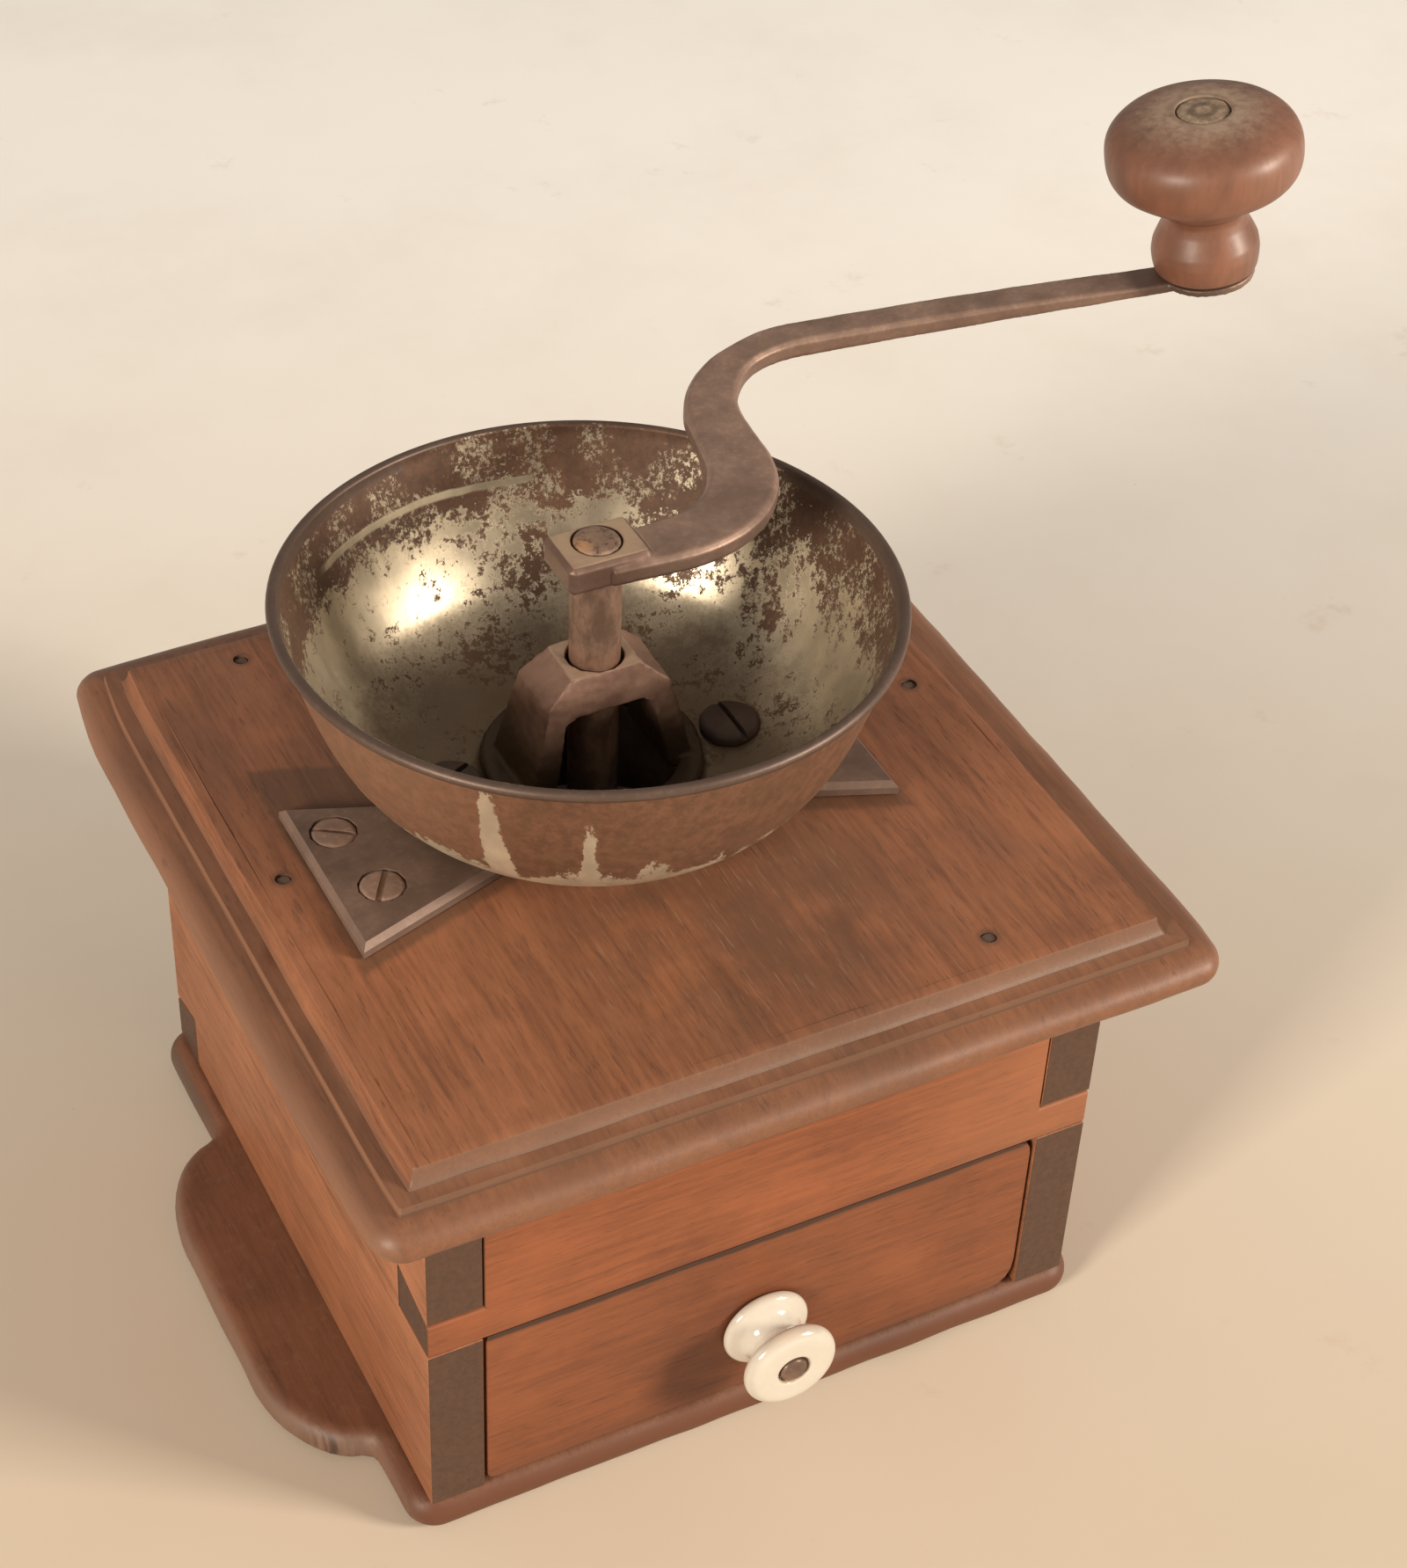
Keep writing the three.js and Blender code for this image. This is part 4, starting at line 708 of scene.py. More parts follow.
class GRINDER_OT_base(bpy.types.Operator):
    """Builds the base board with its rounded edge and wings"""
    bl_idname = "grinder.base"
    bl_label = "Base board"
    side_overhang = 3.6
    corner = 6.0
    corner_steps = 12
    wing_length = 81.5
    wing_shift = -5.2
    wing_corner = (14.5, 24.0)
    wing_root = ((0.0, 2.2), (0.5, 0.7))
    rounding = 3.4
    rounding_steps = 14
    rough_end = (-70.0, -36.0)
    saw_marks = 0.55
    edge_shade = (0.118, 0.042, 0.021)
    ear_shade = (0.082, 0.056, 0.040)
    saw_shade = (0.050, 0.030, 0.020)

    def outline(self):
        """The base's outline, anticlockwise."""
        half_x = CASE_HIGH.x + self.side_overhang
        low = self.wing_shift - self.wing_length / 2
        high = self.wing_shift + self.wing_length / 2
        wide, long = self.wing_corner
        wing_x = BASE_HIGH.x - wide

        def arc(x, y, start, half_width=self.corner, half_length=self.corner):
            """Points along a quarter of an ellipse."""
            turns = [start + QUARTER * k / self.corner_steps for k in range(self.corner_steps + 1)]
            return [(x + half_width * math.cos(turn), y + half_length * math.sin(turn)) for turn in turns]

        right = arc(half_x - self.corner, BASE_LOW.y + self.corner, -QUARTER)
        right += [(half_x + out, low - before) for out, before in self.wing_root]
        right += arc(wing_x, low + long, -QUARTER, wide, long)[1:]
        right += arc(wing_x, high - long, 0.0, wide, long)[:-1]
        right += [(half_x + out, high + after) for out, after in reversed(self.wing_root)]
        right += arc(half_x - self.corner, BASE_HIGH.y - self.corner, 0.0)
        left = [(-x, y) for x, y in reversed(right)]
        return self.spread(right + left)

    @staticmethod
    def spread(line, gap=3.0):
        """Adds points along long straight runs."""
        result = []
        for here, after in zip(line, line[1:] + line[:1]):
            here, after = Vector(here), Vector(after)
            count = max(1, int((after - here).length / gap))
            result += [here.lerp(after, k / count) for k in range(count)]
        return result

    def execute(self, context):
        line = self.outline()
        count = len(line)
        outward = []
        for k in range(count):
            run = line[(k + 1) % count] - line[k - 1]
            outward.append(Vector((run.y, -run.x)).normalized())
        half = BASE_HIGH.z / 2
        points = []
        for k in range(self.rounding_steps + 1):
            angle = math.pi * k / self.rounding_steps - QUARTER
            inset = self.rounding * (1 - math.cos(angle))
            height = half + half * math.sin(angle)
            for spot, way in zip(line, outward):
                # The left wing's front end is rough from the saw and the rasp.
                rough = 0.0
                if spot.x < self.rough_end[0] and spot.y < self.rough_end[1]:
                    rough = self.saw_marks * abs(noise.noise(Vector((spot.x * 0.9, 0.0, height * 0.12))))
                place = spot - way * (inset + rough)
                points.append((place.x, place.y, height))
        made = make_object("base_board_worn", points, ring_faces(self.rounding_steps + 1, count))
        worn(made, depth=0.22, size=9.0)
        for vertex in made.data.vertices:
            vertex.co.z = min(max(vertex.co.z, 0.0), BASE_HIGH.z * MM)
        colours = settings()[1]

        def edge_marks(look):
            """Dirty edges, dusty wings and the sawn end of the left one."""
            side = look.fall(look.facing("Z"), 0.55, 0.9)
            wing = side * look.smooth(abs(look.at("X")), 66.0, 71.0)
            cuts = look.noise((0.5, 0.05, 0.03), detail=4.0, roughness=0.7)
            dusty = look.noise(0.10, (4.0, 1.0, 0.0), 4.0, 0.6)
            look.lay((side - wing) * 0.85, self.edge_shade)
            look.lay(wing * (0.35 + dusty * 0.5), times(colours.dust, 0.74))
            ear = look.smooth(look.at("Y"), 30.0, 48.0) * look.fall(look.at("X"), -60.0, -40.0)
            look.lay(side * ear * 0.7, self.ear_shade)
            sawn = wing * look.fall(look.at("Y"), -44.0, -36.0)
            look.lay(sawn * look.smooth(cuts, 0.50, 0.62) * 0.35, colours.dust)
            look.lay(sawn * look.fall(cuts, 0.38, 0.52) * 0.85, self.saw_shade)

        finish = wood("base_walnut", times(colours.walnut, 0.58), colours.walnut_dark, "Y", roughness=0.52,
                      grey=0.25, extra=edge_marks)
        put(made, finish, "case", "walnut", "base_board")
        crisp(made, degrees=60)
        return {"FINISHED"}


class GRINDER_OT_lid(bpy.types.Operator):
    """Builds the lid with its moulding, worn corners and nail holes"""
    bl_idname = "grinder.lid"
    bl_label = "Moulded lid"
    field_shift = (0.7, -1.0)
    ovolo_out = 1.5
    ovolo_down = 3.6
    fillet_out = 3.1
    step_down = 2.1
    step_out = 0.4
    nosing_out = 5.9
    nosing_turn = math.radians(86)
    nosing_steps = 16
    field_inset = nosing_out + step_out + fillet_out + ovolo_out
    corner_steps = 8
    side_steps = 26
    plate_neck = 9.5
    nail_hole = 1.45
    moulding_grime = (0.150, 0.088, 0.060)
    paler_left_moulding = (0.52, 0.285, 0.180)
    quirk_grime_and_shade = (0.14, 0.075, 0.045)
    lip_shade = (0.150, 0.070, 0.040)
    groove_grime_and_shade = (0.060, 0.036, 0.025)
    nail_shade = (0.075, 0.038, 0.024)
    dark_cloud = (0.120, 0.062, 0.040)
    pale_cloud = (0.42, 0.235, 0.150)
    dash_shade = (0.085, 0.045, 0.030)
    front_patch_colour = (0.120, 0.060, 0.036)
    scratch_shade = (0.34, 0.22, 0.145)
    plate_grime = (0.070, 0.042, 0.027)

    def profile(self):
        """The edge's section as [inset, drop] from the field to the underside."""
        inset, shelf = self.field_inset, self.nosing_out + self.step_out
        nosing_top = self.ovolo_down + self.step_down
        thick = LID_HIGH.z - LID_LOW.z
        half = (thick - nosing_top) / 2
        line = [(inset + 2.0, 0.0), (inset, 0.05)]
        for k in range(1, 6):
            angle = k / 6 * QUARTER
            line.append((inset - self.ovolo_out * (1 - math.cos(angle)) - 0.1 * k,
                         self.ovolo_down * math.sin(angle)))
        line += [(inset - self.ovolo_out, self.ovolo_down), (shelf, self.ovolo_down + 0.15)]
        line = soften(line, radius=0.45, steps=2)
        line.append((self.nosing_out + self.step_out * 0.3, nosing_top - 0.1))
        for k in range(self.nosing_steps + 1):
            angle = self.nosing_turn * (1 - 2 * k / self.nosing_steps)
            line.append((self.nosing_out * (1 - math.cos(angle)), nosing_top + half * (1 - math.sin(angle))))
        line.append((self.nosing_out + 6.0, thick))
        return line

    def ring(self, inset, drop):
        """One ring of the lid at an inset and a drop from the top."""
        share = min(1.0, inset / self.field_inset)
        x = LID_MIDDLE.x + (self.field_shift[0] - LID_MIDDLE.x) * share
        y = LID_MIDDLE.y + (self.field_shift[1] - LID_MIDDLE.y) * share
        radius = max(settings()[0].lid_corner / MM - inset, 0.5)
        half_x = (LID_HIGH.x - LID_LOW.x) / 2 - inset - radius
        half_y = (LID_HIGH.y - LID_LOW.y) / 2 - inset - radius

        def spot(quarter, turn):
            """A point of the rounded corner in a quarter, at a share of its turn."""
            angle = (quarter + turn) * QUARTER
            return Vector((x + (half_x if quarter in (0, 3) else -half_x) + radius * math.cos(angle),
                           y + (half_y if quarter < 2 else -half_y) + radius * math.sin(angle),
                           LID_HIGH.z - drop))

        ring = []
        for quarter in range(4):
            ring += [spot(quarter, k / self.corner_steps) for k in range(self.corner_steps + 1)]
            start, end = ring[-1], spot((quarter + 1) % 4, 0)
            ring += [start.lerp(end, k / self.side_steps) for k in range(1, self.side_steps)]
        return ring

    @staticmethod
    def wear(points):
        """Draws the corners in. Hands and knocks have worn them, most of all the back left one."""
        for x, y, depth, reach in ((LID_LOW.x, LID_HIGH.y, 2.4, 15.0), (LID_LOW.x, LID_LOW.y, 0.8, 9.0),
                                   (LID_HIGH.x, LID_LOW.y, 1.2, 9.0), (LID_HIGH.x, LID_HIGH.y, 1.0, 9.0)):
            for point in points:
                amount = depth * math.exp(-(math.hypot(point.x - x, point.y - y) / reach) ** 2)
                point.x += amount * math.copysign(1, LID_MIDDLE.x - x)
                point.y += amount * 0.4 * math.copysign(1, LID_MIDDLE.y - y)

    def execute(self, context):
        rows = [self.ring(inset, drop) for inset, drop in self.profile()]
        points = [point for row in rows for point in row]
        self.wear(points)
        made = make_object("lid_board_worn", points, ring_faces(len(rows), len(rows[0])))
        worn(made, depth=0.28, size=17.0)
        worn(made, depth=0.16, size=4.5, shift=7.0)
        nails = [middle(node) for node in numbered("lid_nail", 4)]
        drills = [cylinder("throat", (SPINDLE.x, SPINDLE.y, LID_LOW.z), THROAT, 60.0, 96)]
        drills += [cylinder("drill", (nail.x, nail.y, LID_HIGH.z - 0.6), self.nail_hole, 4.0, 20)
                   for nail in nails]
        combine(made, drills, "DIFFERENCE")
        crisp(made, degrees=42)

        def marks(look):
            """Grime and painted shade in the moulding, clouds along the grain, a darker patch in front of the
            bowl and dirt by the plate.
            """
            front_face = abs(look.facing("Y"))
            rise = look.at("Z") - LID_HIGH.z
            grit = look.noise((0.05, 0.6, 0.6), detail=4.0, roughness=0.7)
            band = look.smooth(rise, -6.1, -5.1) * look.smooth(front_face, 0.22, 0.5)
            look.lay(band * (0.45 + grit * 0.5), self.moulding_grime)
            # The moulding's left-facing faces are paler.
            left = look.smooth(look.facing("X") * -1.0, 0.25, 0.70) * look.fall(rise, -4.7, -2.7)
            look.lay(left * 0.30, self.paler_left_moulding)
            # Grime and painted shade in the quirk between the ovolo's shelf and the nosing.
            look.lay(look.belt(rise, (-6.5, -5.5), (-3.5, -2.7)) * 0.45, self.quirk_grime_and_shade)
            look.lay(look.belt(rise, (-12.1, -9.7), (-6.3, -5.7)) * 0.62, self.lip_shade)
            # A thin dark line in the groove at the nosing's top: grime and painted shade.
            look.lay(look.fall(abs(rise + 5.3), 0.10, 0.40) * 0.45, self.groove_grime_and_shade)
            for nail in nails:
                look.lay(look.near((nail.x, nail.y, LID_HIGH.z), 1.4, 2.8) * 0.5, self.nail_shade)
            # Broad pale and dark areas, and sparse dark dashes along the grain.
            cloud = look.noise((0.034, 0.016, 0.03), (3.0, 7.0, 0.0), 2.0, 0.5)
            look.lay(look.smooth(cloud, 0.52, 0.66) * 0.30, self.dark_cloud)
            rear = look.smooth(look.at("Y"), BOWL.y, LID_HIGH.y)
            look.lay(rear * look.fall(cloud, 0.34, 0.52) * 0.30, self.pale_cloud)
            dash = look.noise((0.62, 0.075, 0.6), (7.0, 1.0, 0.0), 2.0, 0.5)
            look.lay(look.smooth(dash, 0.67, 0.76) * 0.50, self.dash_shade)
            # The board is darker in a patchy area in front of the bowl, crossed by pale scratches.
            front = look.near((BOWL.x + 8.0, BOWL.y - 42.0, LID_HIGH.z), 10.0, 52.0)
            dull = look.noise(0.05, (2.0, 8.0, 1.0), 4.0, 0.6)
            look.lay(front * look.smooth(dull, 0.30, 0.62) * 0.72, self.front_patch_colour)
            strokes = look.noise((2.4, 0.15, 1.0), (3.0, 0.0, 0.0), roughness=0.6)
            look.lay(front * look.smooth(strokes, 0.58, 0.70) * 0.34, self.scratch_shade)
            look.lay(self.plate_dirt(look) * look.smooth(rise, -3.7, -1.7) * 0.55, self.plate_grime)

        colours = settings()[1]
        finish = wood("lid_walnut", colours.walnut, colours.walnut_dark, "Y", roughness=0.46, grey=0.12,
                      extra=marks)
        put(made, finish, "case", "walnut", "lid_board")
        return {"FINISHED"}

    def plate_dirt(self, look):
        """Where dirt has gathered along the bow-tie plate's edge."""
        plate = middle("mounting_plate")
        half = corners("mounting_plate")[1] - plate
        along = abs(look.at("X") - plate.x)
        across = abs(look.at("Y") - plate.y)
        flanks = across - self.plate_neck - along * ((half.y - self.plate_neck) / half.x)
        gap = look.node("ShaderNodeMath", {"operation": "MAXIMUM"}, {0: along - half.x, 1: flanks})
        ragged = (look.noise(0.35, detail=4.0, roughness=0.7) - 0.5) * 3.0
        return look.fall(gap + ragged, 0.2, 2.2)


class GRINDER_OT_case(bpy.types.Operator):
    """Finishes the side boards, the rail and the back board"""
    bl_idname = "grinder.case"
    bl_label = "Case boards"
    foot_shade = (0.190, 0.066, 0.029)
    rubbed_end = (0.36, 0.165, 0.085)

    def execute(self, context):
        sizes, colours, _ = settings()

        def side_marks(look):
            """A darker foot on the outside."""
            low = look.fall(look.at("Z"), 12.0, 62.0)
            look.lay(low * look.smooth(abs(look.facing("X")), 0.5, 0.8) * 0.45, self.foot_shade)

        def rail_marks(look):
            """A darker foot and a rubbed right end."""
            low = look.fall(look.at("Z"), CASE_HIGH.z - 39.6, CASE_HIGH.z - 36.0)
            look.lay(low * 0.3, colours.front_dark)
            look.lay(look.smooth(look.at("X"), 10.0, 62.0) * 0.30, self.rubbed_end)

        side = wood("side_walnut", colours.side, colours.walnut_dark, "Y", colours.end_grain, grey=0.10,
                    extra=side_marks)
        back = wood("back_walnut", colours.walnut, colours.walnut_dark, "X", colours.end_grain, 0.55)
        rail = wood("rail_walnut", times(colours.front, 1.12), colours.front_dark, "X", colours.end_grain,
                    0.55, extra=rail_marks)
        dress(["left_side", "right_side"], side, sizes.board_edge)
        dress(["back_board"], back, sizes.board_edge)
        dress(["front_rail"], rail, sizes.board_edge)
        return {"FINISHED"}


class GRINDER_OT_drawer(bpy.types.Operator):
    """Finishes the drawer's boards and their nails"""
    bl_idname = "grinder.drawer"
    bl_label = "Drawer"
    edge_shade = (0.120, 0.045, 0.024)
    gap_painted_shade = (0.035, 0.018, 0.012)

    def execute(self, context):
        sizes, colours, _ = settings()
        knob = middle("drawer_knob")
        low, high = corners("drawer_front")

        def knob_marks_and_shadow(look):
            """Dark smears near the knob, the knob's painted shadow, dark upper and lower edges, and painted
            shade in the gap under the rail.
            """
            # Hand smears round the knob, set towards its lower left where its shadow falls: handling dirt and
            # painted shadow together.
            smear = look.noise((0.06, 0.06, 0.12), detail=4.0, roughness=0.6)
            dark = look.near((knob.x - 5, low.y, knob.z - 1), 8.0, 32.0)
            look.lay(dark * look.smooth(smear, 0.35, 0.65) * 0.5, colours.front_dark)
            # Painted shadow of the knob, cast to its lower left as if by the right lamp.
            knob_painted_shadow = look.near((knob.x - 14, low.y, knob.z - 6), 3.0, 13.0)
            look.lay(knob_painted_shadow * 0.50, times(colours.front_dark, 0.75))
            height = look.at("Z")
            edge = look.fall(height, low.z, low.z + 5) + look.smooth(height, high.z - 2.5, high.z - 0.4)
            look.lay(edge * 0.55, self.edge_shade)
            # Painted shade in the gap between the drawer's top edge and the rail.
            gap = look.smooth(height + (smear - 0.5) * 2.0, high.z - 1.5, high.z - 0.7)
            look.lay(gap * 0.85, self.gap_painted_shade)

        front = wood("drawer_walnut", times(colours.front, 0.94), colours.front_dark, "X", colours.front_dark,
                     0.46, extra=knob_marks_and_shadow)
        inner = wood("poplar_boards", colours.poplar, times(colours.poplar, 0.62), "Y", roughness=0.7)
        dress(["drawer_front"], front, sizes.board_edge, 40)
        dress(["drawer_left_side", "drawer_right_side", "drawer_back", "drawer_bottom"], inner,
              sizes.board_edge)
        dress(numbered("drawer_nail", 4), iron("drawer_nail_iron", rusty=0.3))
        return {"FINISHED"}


class GRINDER_OT_drawer_knob(bpy.types.Operator):
    """Turns the porcelain drawer knob and fits its bolt, washer and nut"""
    bl_idname = "grinder.drawer_knob"
    bl_label = "Porcelain knob"
    rose = 8.4
    waist = 4.7
    disc = 9.1
    hole = 1.9
    shank = 1.6
    head = 2.6

    def execute(self, context):
        low, high = corners("drawer_knob")
        reach = high.y - low.y
        rose, waist, disc = self.rose, self.waist, self.disc
        profile = [(self.hole, 0.0), (rose - 0.4, 0.0), (rose, 0.5), (rose, 1.3), (rose - 0.5, 2.0),
                   (rose * 0.72, 2.9), (waist * 1.12, 3.9), (waist, 5.2), (waist * 1.04, 6.4),
                   (waist * 1.25, 7.3), (disc * 0.74, 7.9), (disc * 0.93, 8.7), (disc, 9.7),
                   (disc * 0.985, 10.7), (disc * 0.93, 11.4), (disc * 0.84, reach - 0.12),
                   (disc * 0.72, reach), (3.6, reach), (3.2, reach - 0.15), (3.0, reach - 0.6),
                   (2.8, reach - 1.3), (self.hole, reach - 1.4)]
        knob = lathe("porcelain_knob", soften(profile + [profile[0]], radius=0.5, steps=3)[:-1])
        self.face_front(knob)
        put(knob, glaze_finish(), "drawer", "porcelain", "drawer_knob")
        bolt_low, bolt_high = corners("knob_bolt")
        tail = bolt_high.y - high.y
        tip = high.y - bolt_low.y
        line = [(0.0, -tail), (self.shank, -tail), (self.shank, tip - 1.6), (self.head, tip - 1.6),
                (self.head, tip - 0.7), (2.2, tip - 0.3), (1.2, tip - 0.05), (0.0, tip)]
        bolt = lathe("knob_bolt_worn", soften(line, radius=0.3, steps=3), 40)
        self.face_front(bolt)
        worn(bolt, depth=0.12, size=1.3)
        finish = iron("bolt_iron", rusty=0.2, roughness=0.33, gain=1.3, patches=0.6)
        put(bolt, finish, "drawer", "steel", "knob_bolt")
        dress(["knob_washer", "knob_nut"], iron("nut_iron", rusty=0.3), 0.2 * MM)
        return {"FINISHED"}

    @staticmethod
    def face_front(made):
        """Lays a turned piece along the knob's line: its height becomes its reach out of the drawer."""
        line = middle("drawer_knob") * MM
        foot = corners("drawer_knob")[1].y * MM
        for vertex in made.data.vertices:
            side, depth, reach = vertex.co
            vertex.co = Vector((side + line.x, foot - reach, line.z + depth))


class GRINDER_OT_plate(bpy.types.Operator):
    """Finishes the mounting plate and makes its slotted screws"""
    bl_idname = "grinder.plate"
    bl_label = "Plate and screws"
    plate_turns = (-0.58, 1.0, 0.7, 2.2)
    plate_screw = {"dome": 0.7, "thick": 1.3, "shank": 1.6}
    bowl_turns = (0.5, 1.6)
    bowl_screw = {"dome": 1.2, "thick": 2.6, "shank": 2.6}

    def execute(self, context):
        # The plate's bevelled edges take a painted highlight.
        dress(["mounting_plate"], iron("plate_iron", rusty=0.08, pale=0.3, metallic=0.30, roughness=0.46,
                                       gain=1.12, patches=0.55, edges=0.28), settings()[0].iron_edge)
        finish = iron("screw_iron", pale=0.5, roughness=0.40, metallic=0.35, gain=1.75, patches=0.4)
        for node, turn in zip(numbered("plate_screw", 4), self.plate_turns):
            self.screw(node, turn, finish, **self.plate_screw)
        dark = iron("hopper_screw_iron", pale=0.25, roughness=0.55, metallic=0.25, gain=0.55)
        for node, turn in zip(numbered("hopper_screw", 2), self.bowl_turns):
            self.screw(node, turn, dark, **self.bowl_screw)
        return {"FINISHED"}

    @staticmethod
    def screw(node, turn, finish, dome, thick, shank):
        """A slotted screw with a worn, slightly domed head."""
        low, high = corners(node)
        centre = middle(node)
        radius = (high.x - low.x) / 2
        under = high.z - thick
        line = [(0.0, low.z), (shank, low.z + shank * 2), (shank, under), (radius, under),
                (radius, high.z - dome), (radius * 0.88, high.z - dome * 0.35), (radius * 0.5, high.z - 0.05),
                (0.0, high.z)]
        made = lathe(f"{node}_worn", soften(line, radius=0.35, steps=3), 56, (centre.x, centre.y, 0.0))
        half = settings()[0].slot_width / MM / 2
        bar = box("slot", (-radius * 1.2, -half, high.z - thick * 0.55), (radius * 1.2, half, high.z + 1))
        place = Matrix.Translation(Vector((centre.x, centre.y, 0.0)) * MM)
        bar.data.transform(place @ Matrix.Rotation(turn, 4, "Z"))
        combine(made, [bar], "DIFFERENCE")
        crisp(made, degrees=40)
        worn(made, depth=0.10, size=1.7, shift=turn)
        put(made, finish, "case", "forged_iron", node)


class GRINDER_OT_bowl(bpy.types.Operator):
    """Spins the sheet-iron hopper with its rolled rim"""
    bl_idname = "grinder.bowl"
    bl_label = "Hopper bowl"
    oval = 0.018
    oval_turn = -0.469
    dents = 0.0016
    wall_steps = 34
    roll_steps = 14
    roll_start = -0.60
    roll_turn = 1.42
    foot_steps = 12
    foot_skip = 13
    around_steps = 144

    def section(self, floor, rim, wall_height, sheet, wire):
        """The bowl's section as a closed loop of [radius, height]."""
        outside, inside = [], []
        for k in range(self.wall_steps + 1):
            outside.append(self.wall_point((k / self.wall_steps) ** 1.5, floor, rim, wall_height))
        for k, (radius, height) in enumerate(outside):
            run = Vector(outside[min(k + 1, self.wall_steps)]) - Vector(outside[max(k - 1, 0)])
            run.normalize()
            lean = (0.0, 1.0) if k == 0 else (-run.y, run.x)
            inside.append((radius + sheet * lean[0], height + sheet * lean[1]))
        roll = []
        for k in range(self.roll_steps + 1):
            angle = (self.roll_start + self.roll_turn * k / self.roll_steps) * math.pi
            roll.append((rim + wire * math.cos(angle), wall_height + wire * math.sin(angle)))
        floor_line = [(THROAT, 0.0), (THROAT + 6, 0.0), (floor - 3, 0.0)]
        floor_back = [(floor - 10, sheet), (THROAT + 4, sheet), (THROAT, sheet)]
        # Inside, the floor runs up into the wall in one soft curve.
        crease, start, end = Vector(inside[0]), Vector(inside[self.foot_skip]), Vector(floor_back[0])
        curve = [bent(start, crease, end, k / self.foot_steps).to_tuple() for k in range(1, self.foot_steps)]
        return floor_line + outside[:-1] + roll + inside[:self.foot_skip - 1:-1] + curve + floor_back

    @staticmethod
    def wall_point(share, floor, rim, wall_height):
        """A point of the wall's outside: quick flare at the foot, then nearly straight."""
        sizes = settings()[0]
        curved = 1 - (1 - share) ** sizes.bowl_flare
        out = sizes.bowl_straight * share + (1 - sizes.bowl_straight) * curved
        return floor + (rim - floor) * out, share * wall_height

    def execute(self, context):
        sizes = settings()[0]
        sheet, wire, floor = sizes.sheet / MM, sizes.wire / MM, sizes.bowl_floor / MM
        low, high = corners("hopper_bowl")
        rim = (high.x - low.x) / 2 - wire
        wall_height = high.z - low.z - wire
        line = self.section(floor, rim, wall_height, sheet, wire)
        # The floor's ring is centred on the mill, and the wall on the bowl.
        points = []
        for radius, height in line:
            share = min(1.0, max(0.0, (radius - THROAT) / (floor - THROAT)))
            centre = SPINDLE.lerp(BOWL, share)
            for angle in circle(self.around_steps):
                # Old sheet is never quite round: the rim is a little oval and dented.
                dent = 1 + share * (self.oval * math.cos(2 * (angle - self.oval_turn))
                                    + self.dents * height / wall_height * math.sin(5 * angle + 1.0))
                points.append((centre.x + radius * dent * math.cos(angle),
                               centre.y + radius * dent * math.sin(angle), low.z + height))
        made = make_object("hopper_bowl_worn", points, ring_faces(len(line), self.around_steps, False, True))
        put(made, bowl_finish("bowl_tin_outside", False), "case", "tinned_iron", "hopper_bowl")
        made.data.materials.append(bowl_finish("bowl_tin_inside", True))
        made.data.materials.append(iron("rim_iron", roughness=0.36, metallic=0.40, gain=0.62, patches=0.35))
        rim_foot = (low.z + wall_height - wire * 0.9) * MM
        rim_inside = (rim - wire * 1.2) * MM
        for polygon in made.data.polygons:
            away = polygon.center.xy - BOWL.xy * MM
            if polygon.center.z > rim_foot and away.length > rim_inside:
                polygon.material_index = 2
            elif polygon.normal.xy.dot(away) < 0 or polygon.normal.z > 0.85:
                polygon.material_index = 1
        return {"FINISHED"}


